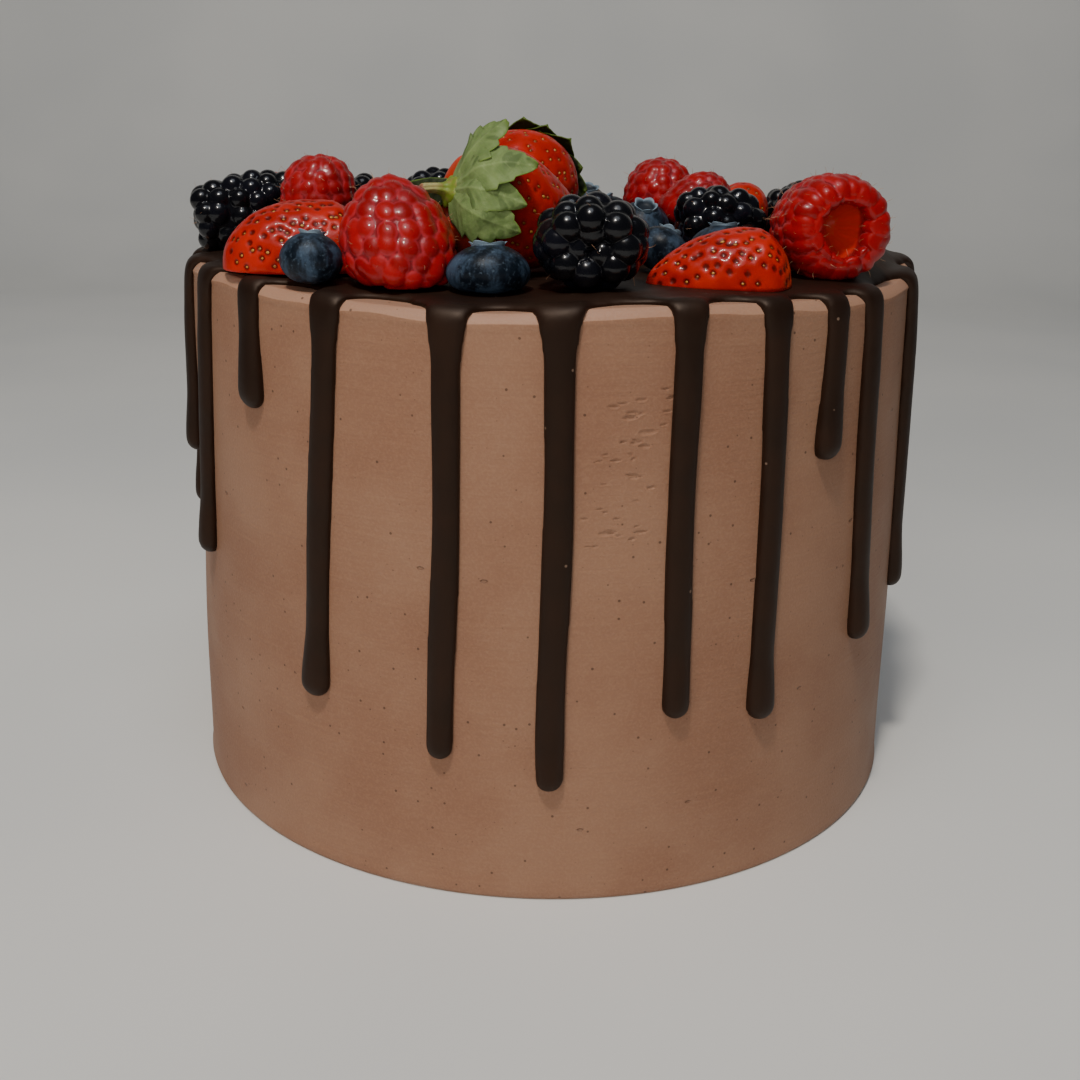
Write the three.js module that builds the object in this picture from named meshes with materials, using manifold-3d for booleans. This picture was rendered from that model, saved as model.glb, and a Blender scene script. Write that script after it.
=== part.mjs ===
// A tall chocolate cake with a ganache drip and fresh berries heaped on top.
// Millimetres, +Z up. The origin is the middle of the cake's foot, and -Y is the front.
// Angles round the cake are in degrees from the front, positive towards +X.
import * as THREE from "three";
import { mergeVertices } from "three/addons/utils/BufferGeometryUtils.js";
import Module from "manifold-3d";

const wasm = await Module();
wasm.setup();

// Cake
const CAKE_HEIGHT = 117.5;
const TOP_RADIUS = 81.6;
const FOOT_RADIUS = 84.7;
const RIM_ROUNDING = 1.2;
const RIM_WAVES = 5; // rises of the scraped rim in a full turn
const RIM_WAVE_HEIGHT = 0.55;
const RIM_WAVE_START = 16;
const RIM_DIP_AT = -7; // where the scraper took off a little more
const RIM_DIP_WIDTH = 10;
const RIM_DIP_DEPTH = 0.8;
const CAKE_SIDES = 56;
const SIDE_RINGS = 3;
const TOP_RING_INSET = 14; // how far inside the rim the top starts to follow the rim's waves

// Ganache
const POOL_RADIUS = 75.5;
const POOL_THICKNESS = 2.0;
const POOL_EDGE_THICKNESS = 1.5;
const POOL_EDGE_ROUNDING = 1.6;
const POOL_EDGE_STEP = 0.1; // how far a drip's hidden start lies below the pool's surface
const POOL_EDGE_SLOPE = 12; // the stretch inside the edge over which the pool thickens
const POOL_EDGE_LIP = 0.3; // where the first step of the rounded edge is, inside the edge
const POOL_WANDER = [
  { size: 0.9, waves: 3, start: 0.8 },
  { size: 0.6, waves: 7, start: 2.1 },
];
const POOL_SIDES = 60;
const DRIP_THICKNESS = 1.8;
const BULB_THICKNESS = 2.5;
const DRIP_FLARE = 10; // the stretch below the rim over which a drip narrows
const DRIP_FLARE_START = -2;
const SHOULDER_FLARE = 4; // how much wider a drip is where it leaves the pool
const SHOULDER_START = -7;
const SHOULDER_END = -1;
const DRIP_HIDDEN_RUN = -3; // up to here a drip lies inside the pool's thickness
const DRIP_FIRST_RUNS = [-9, -4, -0.9, 0.5, 3.5]; // its cross-sections round the rim
const DRIP_NECK_STEP = 36;
const DRIP_STRAY = 1.3; // above 1, most of its sideways drift is near the tip
const BULB_RISE = 2; // the stretch over which the neck swells, in bulb widths
const BULB_LAST_RING = 0.36; // the last cross-section below the bulb's middle, in bulb widths
const BULB_TIP_HEIGHT = 0.3; // how far out the tip is, in bulb thicknesses
const DRIP_FACETS = 4;

// Gap between pieces that touch
const CLEARANCE = 0.35;

const rad = THREE.MathUtils.degToRad;
const TURN = 2 * Math.PI;

// The drips that the front shows: where each leaves the rim and where it ends round the cake,
// how far below the rim it reaches, and its widths at the rim, along the neck and at the bulb.
const FRONT_DRIPS = [
  { at: -73.0, tipAt: -74.0, length: 42.3, root: 9.0, neck: 5.6, bulb: 6.2 },
  { at: -59.8, tipAt: -63.0, length: 62.0, root: 8.2, neck: 5.6, bulb: 6.2 },
  { at: -45.5, tipAt: -44.9, length: 24.0, root: 7.8, neck: 5.8, bulb: 6.6 },
  { at: -30.5, tipAt: -33.4, length: 80.1, root: 8.6, neck: 5.6, bulb: 6.6 },
  { at: -12.7, tipAt: -13.7, length: 86.9, root: 9.0, neck: 5.5, bulb: 5.4 },
  { at: 1.6, tipAt: 1.1, length: 92.9, root: 9.2, neck: 5.7, bulb: 5.2 },
  { at: 17.8, tipAt: 17.8, length: 79.5, root: 8.0, neck: 5.4, bulb: 5.6 },
  { at: 31.1, tipAt: 31.5, length: 83.0, root: 8.0, neck: 5.2, bulb: 6.4 },
  { at: 42.0, tipAt: 41.3, length: 30.8, root: 7.2, neck: 5.6, bulb: 6.6 },
  { at: 51.0, tipAt: 52.9, length: 73.5, root: 8.0, neck: 5.6, bulb: 6.4 },
  { at: 70.5, tipAt: 73.5, length: 71.8, root: 9.0, neck: 5.8, bulb: 6.4 },
  { at: 86.0, tipAt: 87.0, length: 47.0, root: 8.2, neck: 5.4, bulb: 6.2 },
];

// The drips behind are spread evenly between these two angles, long and short by turns.
const BACK_DRIPS = 12;
const BACK_FIRST = 101;
const BACK_LAST = 272;
const BACK_DRIP = { length: 60, root: 8, neck: 5.4, bulb: 6.1 };
const BACK_SPREAD = { at: 2, tipAt: 1, length: 26, root: 0.8, neck: 0.3, bulb: 0.4 };

// Fruit. The heading is the way the tip points, from +X towards +Y, and the pitch is how far the
// tip is raised. A piece stands on the ganache unless it is lifted onto its neighbours. The
// flatness is a berry's height as a share of its width, where it isn't round.
const RASPBERRIES = [
  { x: -29.4, y: -60.5, length: 17.5, width: 22.6, heading: 120, pitch: 68 },
  { x: 54.8, y: -37.8, length: 22.0, width: 23.4, heading: 98, pitch: -3, flatness: 0.9 },
  { x: -51.0, y: -18.5, length: 21.5, width: 16.6, heading: 60, pitch: 84 },
  { x: 26.2, y: 21.5, length: 20.0, width: 18.4, heading: 100, pitch: 86 },
  { x: 34.6, y: 4.6, length: 16.0, width: 16.4, heading: 20, pitch: 50 },
  { x: -6.0, y: 62.0, length: 19.0, width: 17.0, heading: 250, pitch: 0 },
  { x: -62.5, y: 26.0, length: 19.0, width: 15.0, heading: 15, pitch: 0 },
];
const BRAMBLES = [
  { x: -66.6, y: -6.5, length: 29.0, width: 17.8, heading: 20, pitch: 9 },
  { x: 7.4, y: -60.5, length: 19.5, width: 22.4, heading: 90, pitch: 3, flatness: 0.79 },
  { x: -44.6, y: 0.6, length: 20.0, width: 16.6, heading: 80, pitch: 14 },
  { x: -28.6, y: 15.5, length: 21.0, width: 16.4, heading: 60, pitch: 18 },
  { x: 37.8, y: -14.5, length: 19.6, width: 17.0, heading: 8, pitch: 4 },
  { x: 58.0, y: -3.0, length: 20.0, width: 16.6, heading: 80, pitch: 12 },
  { x: 62.0, y: 31.0, length: 20.0, width: 14.0, heading: 300, pitch: 0 },
  { x: -36.0, y: 36.5, length: 18.0, width: 13.0, heading: 35, pitch: 0 },
];
const STRAWBERRIES = [
  { x: -6.0, y: -39.5, length: 32.0, width: 24.5, heading: 28, pitch: -20, lift: 0.8 },
  { x: -7.8, y: -4.5, length: 30.0, width: 27.6, heading: 264, pitch: -20 },
  { x: 47.0, y: 21.5, length: 23.0, width: 14.8, heading: 70, pitch: 0 },
  { x: -14.0, y: 40.0, length: 27.0, width: 17.0, heading: 200, pitch: 0 },
];
const STRAWBERRY_HALVES = [
  { x: -51.0, y: -45.0, length: 29.0, width: 23.5, height: 13.4, heading: 196, blunt: 2.3 },
  { x: 32.5, y: -54.0, length: 28.6, width: 21.0, height: 11.0, heading: 188, blunt: 1.7 },
  { x: 35.0, y: 55.0, length: 27.0, width: 21.0, height: 11.0, heading: 150, blunt: 1.7 },
  { x: -39.0, y: 56.0, length: 26.0, width: 21.0, height: 10.6, heading: 30, blunt: 1.8 },
];
const BLUEBERRIES = [
  { x: -45.2, y: -60.6, width: 12.0, height: 9.8, heading: 80, pitch: 78 },
  { x: -11.6, y: -63.8, width: 16.0, height: 9.4, heading: 100, pitch: 82 },
  { x: 22.6, y: -37.0, width: 11.4, height: 8.8, heading: 40, pitch: 60 },
  { x: 20.6, y: -3.0, width: 12.6, height: 11.4, heading: 280, pitch: 66 },
  { x: 13.0, y: 10.0, width: 13.0, height: 11.6, heading: 180, pitch: 76 },
  { x: 35.6, y: -33.0, width: 14.2, height: 9.8, heading: 90, pitch: 80 },
  { x: -17.0, y: 26.8, width: 13.6, height: 10.6, heading: 200, pitch: 66 },
  { x: -54.5, y: 40.5, width: 12.0, height: 10.6, heading: 120, pitch: 70 },
  { x: 6.5, y: 28.5, width: 13.0, height: 10.0, heading: 60, pitch: 66 },
  { x: 66.5, y: 14.0, width: 12.5, height: 10.4, heading: 20, pitch: 60 },
  { x: 8.5, y: 59.5, width: 13.4, height: 10.0, heading: 300, pitch: 72 },
  { x: -21.6, y: 60.0, width: 12.4, height: 10.0, heading: 140, pitch: 62 },
  { x: 52.0, y: 45.5, width: 12.8, height: 10.2, heading: 30, pitch: 70 },
  { x: 15.5, y: -20.5, width: 12.6, height: 10.2, heading: 220, pitch: 74 },
  { x: -30.5, y: -20.0, width: 13.0, height: 10.4, heading: 310, pitch: 68 },
];

// Leaves of each calyx: where each lies round the stem from its top, clockwise seen from the
// stem's end, how far it folds from straight out towards the berry's tip, its length and width.
const SPREAD_LEAVES = [
  { around: 24, fold: 24, length: 16.0, width: 9.0 },
  { around: 58, fold: 60, length: 20.0, width: 8.5 },
  { around: 80, fold: 62, length: 18.5, width: 7.0 },
  { around: 106, fold: 70, length: 19.5, width: 8.5 },
  { around: 262, fold: -26, length: 14.0, width: 6.5 },
];
const COLLAR_LEAVES = [
  { around: 2, fold: 20, length: 13.0, width: 10.0 },
  { around: 72, fold: 26, length: 13.5, width: 8.5 },
  { around: 140, fold: 30, length: 11.0, width: 7.5 },
  { around: 256, fold: 34, length: 16.5, width: 9.5 },
  { around: 310, fold: 24, length: 13.5, width: 8.5 },
];

// A closed surface over rings of points, each ring anticlockwise seen from the last ring's side.
// A first and a last point close the two ends.
function loft(first, rings, last) {
  const count = rings[0].length;
  const triangles = [];
  for (let j = 0; j < count; j++) {
    const next = (j + 1) % count;
    triangles.push(first, rings[0][next], rings[0][j]);
    for (let i = 0; i + 1 < rings.length; i++) {
      triangles.push(rings[i][j], rings[i][next], rings[i + 1][next]);
      triangles.push(rings[i][j], rings[i + 1][next], rings[i + 1][j]);
    }
    triangles.push(rings.at(-1)[j], rings.at(-1)[next], last);
  }
  return new THREE.BufferGeometry().setFromPoints(triangles);
}

function solidOf(geometry) {
  const bare = geometry.clone();
  bare.deleteAttribute("normal");
  bare.deleteAttribute("uv");
  const merged = mergeVertices(bare, 1e-4);
  const vertProperties = merged.attributes.position.array;
  const triVerts = new Uint32Array(merged.index.array);
  return new wasm.Manifold(new wasm.Mesh({ numProp: 3, vertProperties, triVerts }));
}

function geometryOf(solid) {
  const mesh = solid.getMesh();
  const position = new THREE.BufferAttribute(new Float32Array(mesh.vertProperties), 3);
  const geometry = new THREE.BufferGeometry().setAttribute("position", position);
  return geometry.setIndex(new THREE.BufferAttribute(mesh.triVerts, 1));
}

function joined(geometries) {
  return geometryOf(geometries.map(solidOf).reduce((whole, piece) => whole.add(piece)));
}

const mean = (points) =>
  points.reduce((sum, p) => sum.add(p), new THREE.Vector3()).divideScalar(points.length);

const smoothFall = (from, to, value) => 1 - THREE.MathUtils.smoothstep(value, from, to);

// A point at an angle round the cake.
function roundCake(angle, radius, z) {
  return new THREE.Vector3(radius * Math.sin(angle), -radius * Math.cos(angle), z);
}

function rimHeight(angle) {
  const wave = RIM_WAVE_HEIGHT * Math.cos(RIM_WAVES * (angle - rad(RIM_WAVE_START)));
  const fromDip = Math.atan2(Math.sin(angle - rad(RIM_DIP_AT)), Math.cos(angle - rad(RIM_DIP_AT)));
  return CAKE_HEIGHT + wave - RIM_DIP_DEPTH * Math.exp(-((fromDip / rad(RIM_DIP_WIDTH)) ** 2));
}

const topHeight = (angle, radius) =>
  CAKE_HEIGHT + (rimHeight(angle) - CAKE_HEIGHT) * (radius / TOP_RADIUS) ** 2;

const sideRadius = (z) => FOOT_RADIUS + ((TOP_RADIUS - FOOT_RADIUS) * z) / CAKE_HEIGHT;

// The point a height above the cake's skin, a run past the rim's middle: across the top where
// the run is negative, round the rim, then down the side.
function aboveSkin(angle, run, height) {
  const halfArc = (RIM_ROUNDING * Math.PI) / 4;
  if (run <= -halfArc) {
    const radius = TOP_RADIUS - RIM_ROUNDING + run + halfArc;
    return roundCake(angle, radius, topHeight(angle, radius) + height);
  }
  const rim = rimHeight(angle) - RIM_ROUNDING;
  if (run >= halfArc) {
    const z = rim - (run - halfArc);
    return roundCake(angle, sideRadius(z) + height, z);
  }
  const turned = (run + halfArc) / RIM_ROUNDING;
  const reach = RIM_ROUNDING + height;
  const radius = TOP_RADIUS - RIM_ROUNDING + reach * Math.sin(turned);
  return roundCake(angle, radius, rim + reach * Math.cos(turned));
}

function cakeBody() {
  const halfArc = (RIM_ROUNDING * Math.PI) / 4;
  const runs = [-TOP_RING_INSET, -halfArc, 0, halfArc];
  const angles = Array.from({ length: CAKE_SIDES }, (_, j) => (j * TURN) / CAKE_SIDES);
  const rings = runs.map((run) => angles.map((angle) => aboveSkin(angle, run, 0)));
  for (let i = 1; i <= SIDE_RINGS; i++) {
    const share = 1 - i / SIDE_RINGS;
    rings.push(
      angles.map((angle) => {
        const z = (rimHeight(angle) - RIM_ROUNDING) * share;
        return roundCake(angle, sideRadius(z), z);
      }),
    );
  }
  const top = new THREE.Vector3(0, 0, CAKE_HEIGHT);
  return loft(new THREE.Vector3(), rings.reverse(), top);
}

// The edge of the pool wanders a little, as poured ganache does.
const poolEdge = (angle) =>
  POOL_WANDER.reduce(
    (radius, { size, waves, start }) => radius + size * Math.sin(waves * angle + start),
    POOL_RADIUS,
  );

// How thick the pool is a distance inside its edge.
function poolThickness(inside) {
  if (inside < 0) {
    return 0;
  }
  if (inside < POOL_EDGE_ROUNDING) {
    return POOL_EDGE_THICKNESS * Math.sqrt(1 - (1 - inside / POOL_EDGE_ROUNDING) ** 2);
  }
  const share = Math.min(1, (inside - POOL_EDGE_ROUNDING) / POOL_EDGE_SLOPE);
  return POOL_EDGE_THICKNESS + (POOL_THICKNESS - POOL_EDGE_THICKNESS) * share;
}

function ganacheTop(x, y) {
  const angle = Math.atan2(x, -y);
  const radius = Math.hypot(x, y);
  return topHeight(angle, radius) + CLEARANCE + poolThickness(poolEdge(angle) - radius);
}

function ganachePool() {
  const angles = Array.from({ length: POOL_SIDES }, (_, j) => (j * TURN) / POOL_SIDES);
  const ringAt = (inside, up) =>
    angles.map((angle) => {
      const radius = poolEdge(angle) - inside;
      return roundCake(angle, radius, topHeight(angle, radius) + CLEARANCE + up);
    });
  const insides = [POOL_EDGE_LIP, POOL_EDGE_ROUNDING, POOL_EDGE_ROUNDING + POOL_EDGE_SLOPE];
  const rings = [ringAt(0, 0), ...insides.map((inside) => ringAt(inside, poolThickness(inside)))];
  const under = new THREE.Vector3(0, 0, CAKE_HEIGHT + CLEARANCE);
  const top = new THREE.Vector3(0, 0, CAKE_HEIGHT + CLEARANCE + POOL_THICKNESS);
  return loft(under, rings, top);
}

// Half the width of a drip a run past the rim: flared at the pool, a neck, then a round bulb.
function dripHalfWidth({ length, root, neck, bulb }, run) {
  const shoulder = SHOULDER_FLARE * smoothFall(SHOULDER_START, SHOULDER_END, run);
  const flare = (root - neck) * smoothFall(DRIP_FLARE_START, DRIP_FLARE, run) + shoulder;
  const bulbRadius = bulb / 2;
  const middle = length - bulbRadius;
  const swell = (bulb - neck) * (1 - smoothFall(middle - BULB_RISE * bulb, middle, run));
  const full = (neck + flare + swell) / 2;
  if (run <= middle) {
    return full;
  }
  return bulbRadius * Math.sqrt(Math.max(0, 1 - ((run - middle) / bulbRadius) ** 2));
}

// Where a drip's middle line runs round the cake: from where it leaves the rim to its tip.
const dripAngle = ({ at, tipAt, length }, run) =>
  rad(at + (tipAt - at) * Math.max(0, run / length) ** DRIP_STRAY);

function drip(shape) {
  const { length, bulb } = shape;
  const middle = length - bulb / 2;
  const neckSteps = Math.max(2, Math.round((middle - DRIP_FLARE) / DRIP_NECK_STEP));
  const runs = [...DRIP_FIRST_RUNS];
  for (let i = 0; i <= neckSteps; i++) {
    runs.push(DRIP_FLARE + (i / neckSteps) * (middle - DRIP_FLARE));
  }
  runs.push(middle + BULB_LAST_RING * bulb);
  const rings = runs.map((run) => {
    const half = dripHalfWidth(shape, run);
    const swell = THREE.MathUtils.smoothstep(run, middle - BULB_RISE * bulb, middle);
    const closing = Math.sqrt(1 - (Math.max(0, run - middle) / (bulb / 2)) ** 2);
    const full = DRIP_THICKNESS + (BULB_THICKNESS - DRIP_THICKNESS) * swell;
    const most = run < DRIP_HIDDEN_RUN ? POOL_EDGE_THICKNESS - POOL_EDGE_STEP : full;
    const thickness = Math.min(full * closing, most);
    const centre = dripAngle(shape, run);
    const section = [];
    for (let j = 0; j <= DRIP_FACETS; j++) {
      const across = (Math.PI * j) / DRIP_FACETS;
      const aside = (half * Math.cos(across)) / TOP_RADIUS;
      section.push(aboveSkin(centre + aside, run, CLEARANCE + thickness * Math.sin(across)));
    }
    section.push(aboveSkin(centre, run, CLEARANCE));
    return section;
  });
  const tipHeight = CLEARANCE + BULB_TIP_HEIGHT * BULB_THICKNESS;
  const tip = aboveSkin(dripAngle(shape, length), length, tipHeight);
  return loft(mean(rings[0]), rings, tip);
}

function backDrips() {
  const drips = [];
  for (let i = 0; i < BACK_DRIPS; i++) {
    const share = i / (BACK_DRIPS - 1);
    const sway = Math.sin(2.4 * i + 0.6);
    const longShort = Math.sin(1.9 * i + 1.1);
    const at = BACK_FIRST + (BACK_LAST - BACK_FIRST) * share + BACK_SPREAD.at * sway;
    drips.push({
      at,
      tipAt: at + BACK_SPREAD.tipAt * longShort,
      length: BACK_DRIP.length + BACK_SPREAD.length * longShort,
      root: BACK_DRIP.root + BACK_SPREAD.root * sway,
      neck: BACK_DRIP.neck + BACK_SPREAD.neck * longShort,
      bulb: BACK_DRIP.bulb + BACK_SPREAD.bulb * sway,
    });
  }
  return drips;
}

function ganache() {
  return joined([ganachePool(), ...[...FRONT_DRIPS, ...backDrips()].map(drip)]);
}

// The outline of a berry: its radius as a share of the widest, from the stem end to the tip.
const outline = (stemShare, widestAt, roundness) => (t) => {
  if (t < widestAt) {
    return 1 - (1 - stemShare) * ((widestAt - t) / widestAt) ** 2;
  }
  return (1 - ((t - widestAt) / (1 - widestAt)) ** roundness) ** (1 / roundness);
};
const RASPBERRY_OUTLINE = outline(0.78, 0.3, 2.1);
const BRAMBLE_OUTLINE = outline(0.72, 0.4, 2.3);

const roundAxis = (angle, radius, z) =>
  new THREE.Vector3(radius * Math.cos(angle), radius * Math.sin(angle), z);

// A berry of drupelets: rows of six-sided bosses set like bricks round a core, the tip along
// +Z, with a hollow in the stem end.
const ROW_CROWDING = 1.5; // above 1, the rows get closer together towards the tip
const LAST_ROW_END = 0.93; // where the last row stops, as a share of the length
const BRICK_OFFSET = 0.16; // how far the corners between two rows zigzag, as a share of a row
const HOLLOW_FLOOR_WIDTH = 0.6; // the hollow's width near its bottom, as a share of its mouth
const HOLLOW_FLOOR_DEPTH = 0.8;
function drupeletBerry({ length, width }, shape, { rows, perRow, relief, holeShare, holeDepth }) {
  const along = (share) => 1 - (1 - share) ** ROW_CROWDING;
  const pitch = TURN / perRow;
  const seam = (row, column) => {
    const zigzag = row > 0 && row < rows ? ((row + column) % 2 ? 1 : -1) : 0;
    const t = along((LAST_ROW_END * (row + zigzag * BRICK_OFFSET)) / rows);
    return roundAxis((column * pitch) / 2, (shape(t) * width) / 2 - relief, (t - 0.5) * length);
  };
  const boss = (row, column) => {
    const t = along((LAST_ROW_END * (row + 0.5)) / rows);
    return roundAxis((column * pitch) / 2, (shape(t) * width) / 2, (t - 0.5) * length);
  };
  const triangles = [];
  for (let row = 0; row < rows; row++) {
    for (let cell = 0; cell < perRow; cell++) {
      const left = 2 * cell + (row % 2);
      const corners = [
        seam(row, left),
        seam(row, left + 1),
        seam(row, left + 2),
        seam(row + 1, left + 2),
        seam(row + 1, left + 1),
        seam(row + 1, left),
      ];
      corners.forEach((corner, k) => {
        triangles.push(boss(row, left + 1), corner, corners[(k + 1) % corners.length]);
      });
    }
  }
  const tip = new THREE.Vector3(0, 0, length / 2 - relief / 3);
  const bottom = new THREE.Vector3(0, 0, holeDepth - length / 2);
  const holeRadius = (holeShare * width) / 2;
  const floorRadius = HOLLOW_FLOOR_WIDTH * holeRadius;
  const floorDepth = HOLLOW_FLOOR_DEPTH * holeDepth;
  const mouth = (column) => roundAxis((column * pitch) / 2, holeRadius, relief - length / 2);
  const floor = (column) => roundAxis((column * pitch) / 2, floorRadius, floorDepth - length / 2);
  for (let column = 0; column < 2 * perRow; column++) {
    triangles.push(seam(rows, column), seam(rows, column + 1), tip);
    triangles.push(mouth(column), mouth(column + 1), seam(0, column + 1));
    triangles.push(mouth(column), seam(0, column + 1), seam(0, column));
    triangles.push(floor(column), floor(column + 1), mouth(column + 1));
    triangles.push(floor(column), mouth(column + 1), mouth(column));
    triangles.push(bottom, floor(column + 1), floor(column));
  }
  return new THREE.BufferGeometry().setFromPoints(triangles);
}

const raspberry = (size) =>
  drupeletBerry(size, RASPBERRY_OUTLINE, {
    rows: 5,
    perRow: 8,
    relief: 1.1,
    holeShare: 0.5,
    holeDepth: 0.55 * size.length,
  });

const bramble = (size) =>
  drupeletBerry(size, BRAMBLE_OUTLINE, {
    rows: 4,
    perRow: 8,
    relief: 1.5,
    holeShare: 0.26,
    holeDepth: 4,
  });

// A strawberry is a little flattened and lumpy, with its tip along +Z and a dent at the stem.
const STRAWBERRY_RINGS = 8;
const STRAWBERRY_SIDES = 12;
const STRAWBERRY_STEM_SHARE = 0.62;
const STRAWBERRY_WIDEST_AT = 0.3;
const STRAWBERRY_POINT = 1.55; // 1 would be a cone, 2 a half ellipse
const STRAWBERRY_DENT = 1.2;
const STRAWBERRY_LAST_RING = 0.985;
const STRAWBERRY_CROWDING = 1.35; // above 1, the rings get closer together towards the tip
const STRAWBERRY_OUTLINE = outline(STRAWBERRY_STEM_SHARE, STRAWBERRY_WIDEST_AT, STRAWBERRY_POINT);
const strawberryRadius = (width, t, angle) =>
  ((STRAWBERRY_OUTLINE(t) * width) / 2) *
  (0.97 + 0.03 * Math.cos(2 * angle) + 0.02 * Math.cos(3 * angle + 5 * t));

function strawberryShare(i) {
  const share = (STRAWBERRY_LAST_RING * i) / (STRAWBERRY_RINGS - 1);
  return 1 - (1 - share) ** STRAWBERRY_CROWDING;
}

function strawberry({ length, width }) {
  const rings = [];
  for (let i = 0; i < STRAWBERRY_RINGS; i++) {
    const t = strawberryShare(i);
    const ring = [];
    for (let j = 0; j < STRAWBERRY_SIDES; j++) {
      const angle = (j * TURN) / STRAWBERRY_SIDES;
      ring.push(roundAxis(angle, strawberryRadius(width, t, angle), (t - 0.5) * length));
    }
    rings.push(ring);
  }
  const dent = new THREE.Vector3(0, 0, STRAWBERRY_DENT - length / 2);
  return loft(dent, rings, new THREE.Vector3(0, 0, length / 2));
}

// Half a strawberry lies on its cut face, with its tip along +X.
const HALF_DENT = 0.6;
const HALF_STEM_HEIGHT = 0.36;
const HALF_TIP_HEIGHT = 0.1;
function strawberryHalf({ length, width, height, blunt }) {
  const shape = outline(STRAWBERRY_STEM_SHARE, STRAWBERRY_WIDEST_AT, blunt);
  const rings = [];
  for (let i = 0; i < STRAWBERRY_RINGS; i++) {
    const t = strawberryShare(i);
    const share = shape(t);
    const ring = [];
    for (let j = 0; j < STRAWBERRY_SIDES / 2 + 1; j++) {
      const angle = (j * Math.PI) / (STRAWBERRY_SIDES / 2);
      const y = (share * width * Math.cos(angle)) / 2;
      ring.push(new THREE.Vector3((t - 0.5) * length, y, share * height * Math.sin(angle)));
    }
    rings.push(ring);
  }
  const stemEnd = new THREE.Vector3(HALF_DENT - length / 2, 0, HALF_STEM_HEIGHT * height);
  return loft(stemEnd, rings, new THREE.Vector3(length / 2, 0, HALF_TIP_HEIGHT * height));
}

// A blueberry is flattened, with a crown of five lobes round a dent at its top. The crown's
// sizes are shares of the berry's width and height.
const BLUEBERRY_SIDES = 10;
const BLUEBERRY_LATITUDES = [-55, -18, 20, 50];
const CROWN_RADIUS = 0.17;
const CROWN_HEIGHT = 0.48;
const CROWN_LOBE_OUT = 0.03;
const CROWN_LOBE_UP = 0.05;
const CROWN_DENT_RADIUS = 0.12;
const CROWN_DENT_HEIGHT = 0.44;
const CROWN_BOTTOM = 0.4;

function blueberry({ width, height }) {
  const ringAt = (radius, z, lobeOut = 0, lobeUp = 0) => {
    const ring = [];
    for (let j = 0; j < BLUEBERRY_SIDES; j++) {
      const lobe = j % 2;
      const out = (radius + lobeOut * lobe) * width;
      ring.push(roundAxis((j * TURN) / BLUEBERRY_SIDES, out, (z + lobeUp * lobe) * height));
    }
    return ring;
  };
  const rings = BLUEBERRY_LATITUDES.map((latitude) =>
    ringAt(Math.cos(rad(latitude)) / 2, Math.sin(rad(latitude)) / 2),
  );
  rings.push(ringAt(CROWN_RADIUS, CROWN_HEIGHT, CROWN_LOBE_OUT, CROWN_LOBE_UP));
  rings.push(ringAt(CROWN_DENT_RADIUS, CROWN_DENT_HEIGHT));
  const bottom = new THREE.Vector3(0, 0, -height / 2);
  return loft(bottom, rings, new THREE.Vector3(0, 0, height * CROWN_BOTTOM));
}

// A leaf of the calyx: a thin wavy blade that runs out along +X and folds towards +Z. Both of
// its faces are split into triangles alike.
const LEAF_THICKNESS = 0.6;
const LEAF_STEPS = 4;
const LEAF_TIP_HALF = 0.35;
const LEAF_ROOT = 0.1; // how far along its rounded outline the leaf starts
const LEAF_FULLNESS = 0.7;
const LEAF_WAVE = 0.5;
const LEAF_CREASE = 0.16; // how deep its middle line lies, as a share of half its width
const LEAF_FOLD_START = 0.2;
const LEAF_FOLD_END = 0.75;
function calyxLeaf({ fold, length, width }) {
  const spine = [];
  let x = 0;
  let z = 0;
  for (let i = 0; i <= LEAF_STEPS; i++) {
    const t = i / LEAF_STEPS;
    const round = Math.sin(Math.PI * (LEAF_ROOT + (1 - LEAF_ROOT) * t));
    const half = LEAF_TIP_HALF + (width / 2) * Math.max(0, round) ** LEAF_FULLNESS;
    const wave = LEAF_WAVE * Math.sin(5 * t + width);
    spine.push([
      new THREE.Vector3(x, -half, z + wave),
      new THREE.Vector3(x, 0, z - LEAF_CREASE * half),
      new THREE.Vector3(x, half, z - wave),
    ]);
    const slope = rad(fold) * THREE.MathUtils.smoothstep(t, LEAF_FOLD_START, LEAF_FOLD_END);
    x += (length / LEAF_STEPS) * Math.cos(slope);
    z += (length / LEAF_STEPS) * Math.sin(slope);
  }
  const upper = (i, j) => spine[i][j].clone().add(new THREE.Vector3(0, 0, LEAF_THICKNESS / 2));
  const lower = (i, j) => spine[i][j].clone().sub(new THREE.Vector3(0, 0, LEAF_THICKNESS / 2));
  const triangles = [];
  const wall = (i, j, k, l) => {
    triangles.push(lower(i, j), lower(k, l), upper(k, l));
    triangles.push(lower(i, j), upper(k, l), upper(i, j));
  };
  for (let i = 0; i < LEAF_STEPS; i++) {
    for (let j = 0; j < 2; j++) {
      triangles.push(upper(i, j), upper(i + 1, j), upper(i + 1, j + 1));
      triangles.push(upper(i, j), upper(i + 1, j + 1), upper(i, j + 1));
      triangles.push(lower(i, j), lower(i + 1, j + 1), lower(i + 1, j));
      triangles.push(lower(i, j), lower(i, j + 1), lower(i + 1, j + 1));
    }
    wall(i, 0, i + 1, 0);
    wall(i + 1, 2, i, 2);
  }
  for (let j = 0; j < 2; j++) {
    wall(0, j + 1, 0, j);
    wall(LEAF_STEPS, j, LEAF_STEPS, j + 1);
  }
  return new THREE.BufferGeometry().setFromPoints(triangles);
}

const STEM_RADIUS = 1.3;
const STEM_ROOT_RADIUS = 1.7;
const STEM_LENGTH = 6.5;
const STEM_SINK = 0.4; // how far the stem goes into the hub
const STEM_SIDES = 5;
const HUB_RADIUS = 3.6;
const HUB_THICKNESS = 1.4;
const HUB_SIDES = 7;
const LEAF_SINK = 1.2; // how far a leaf goes into the hub

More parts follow.
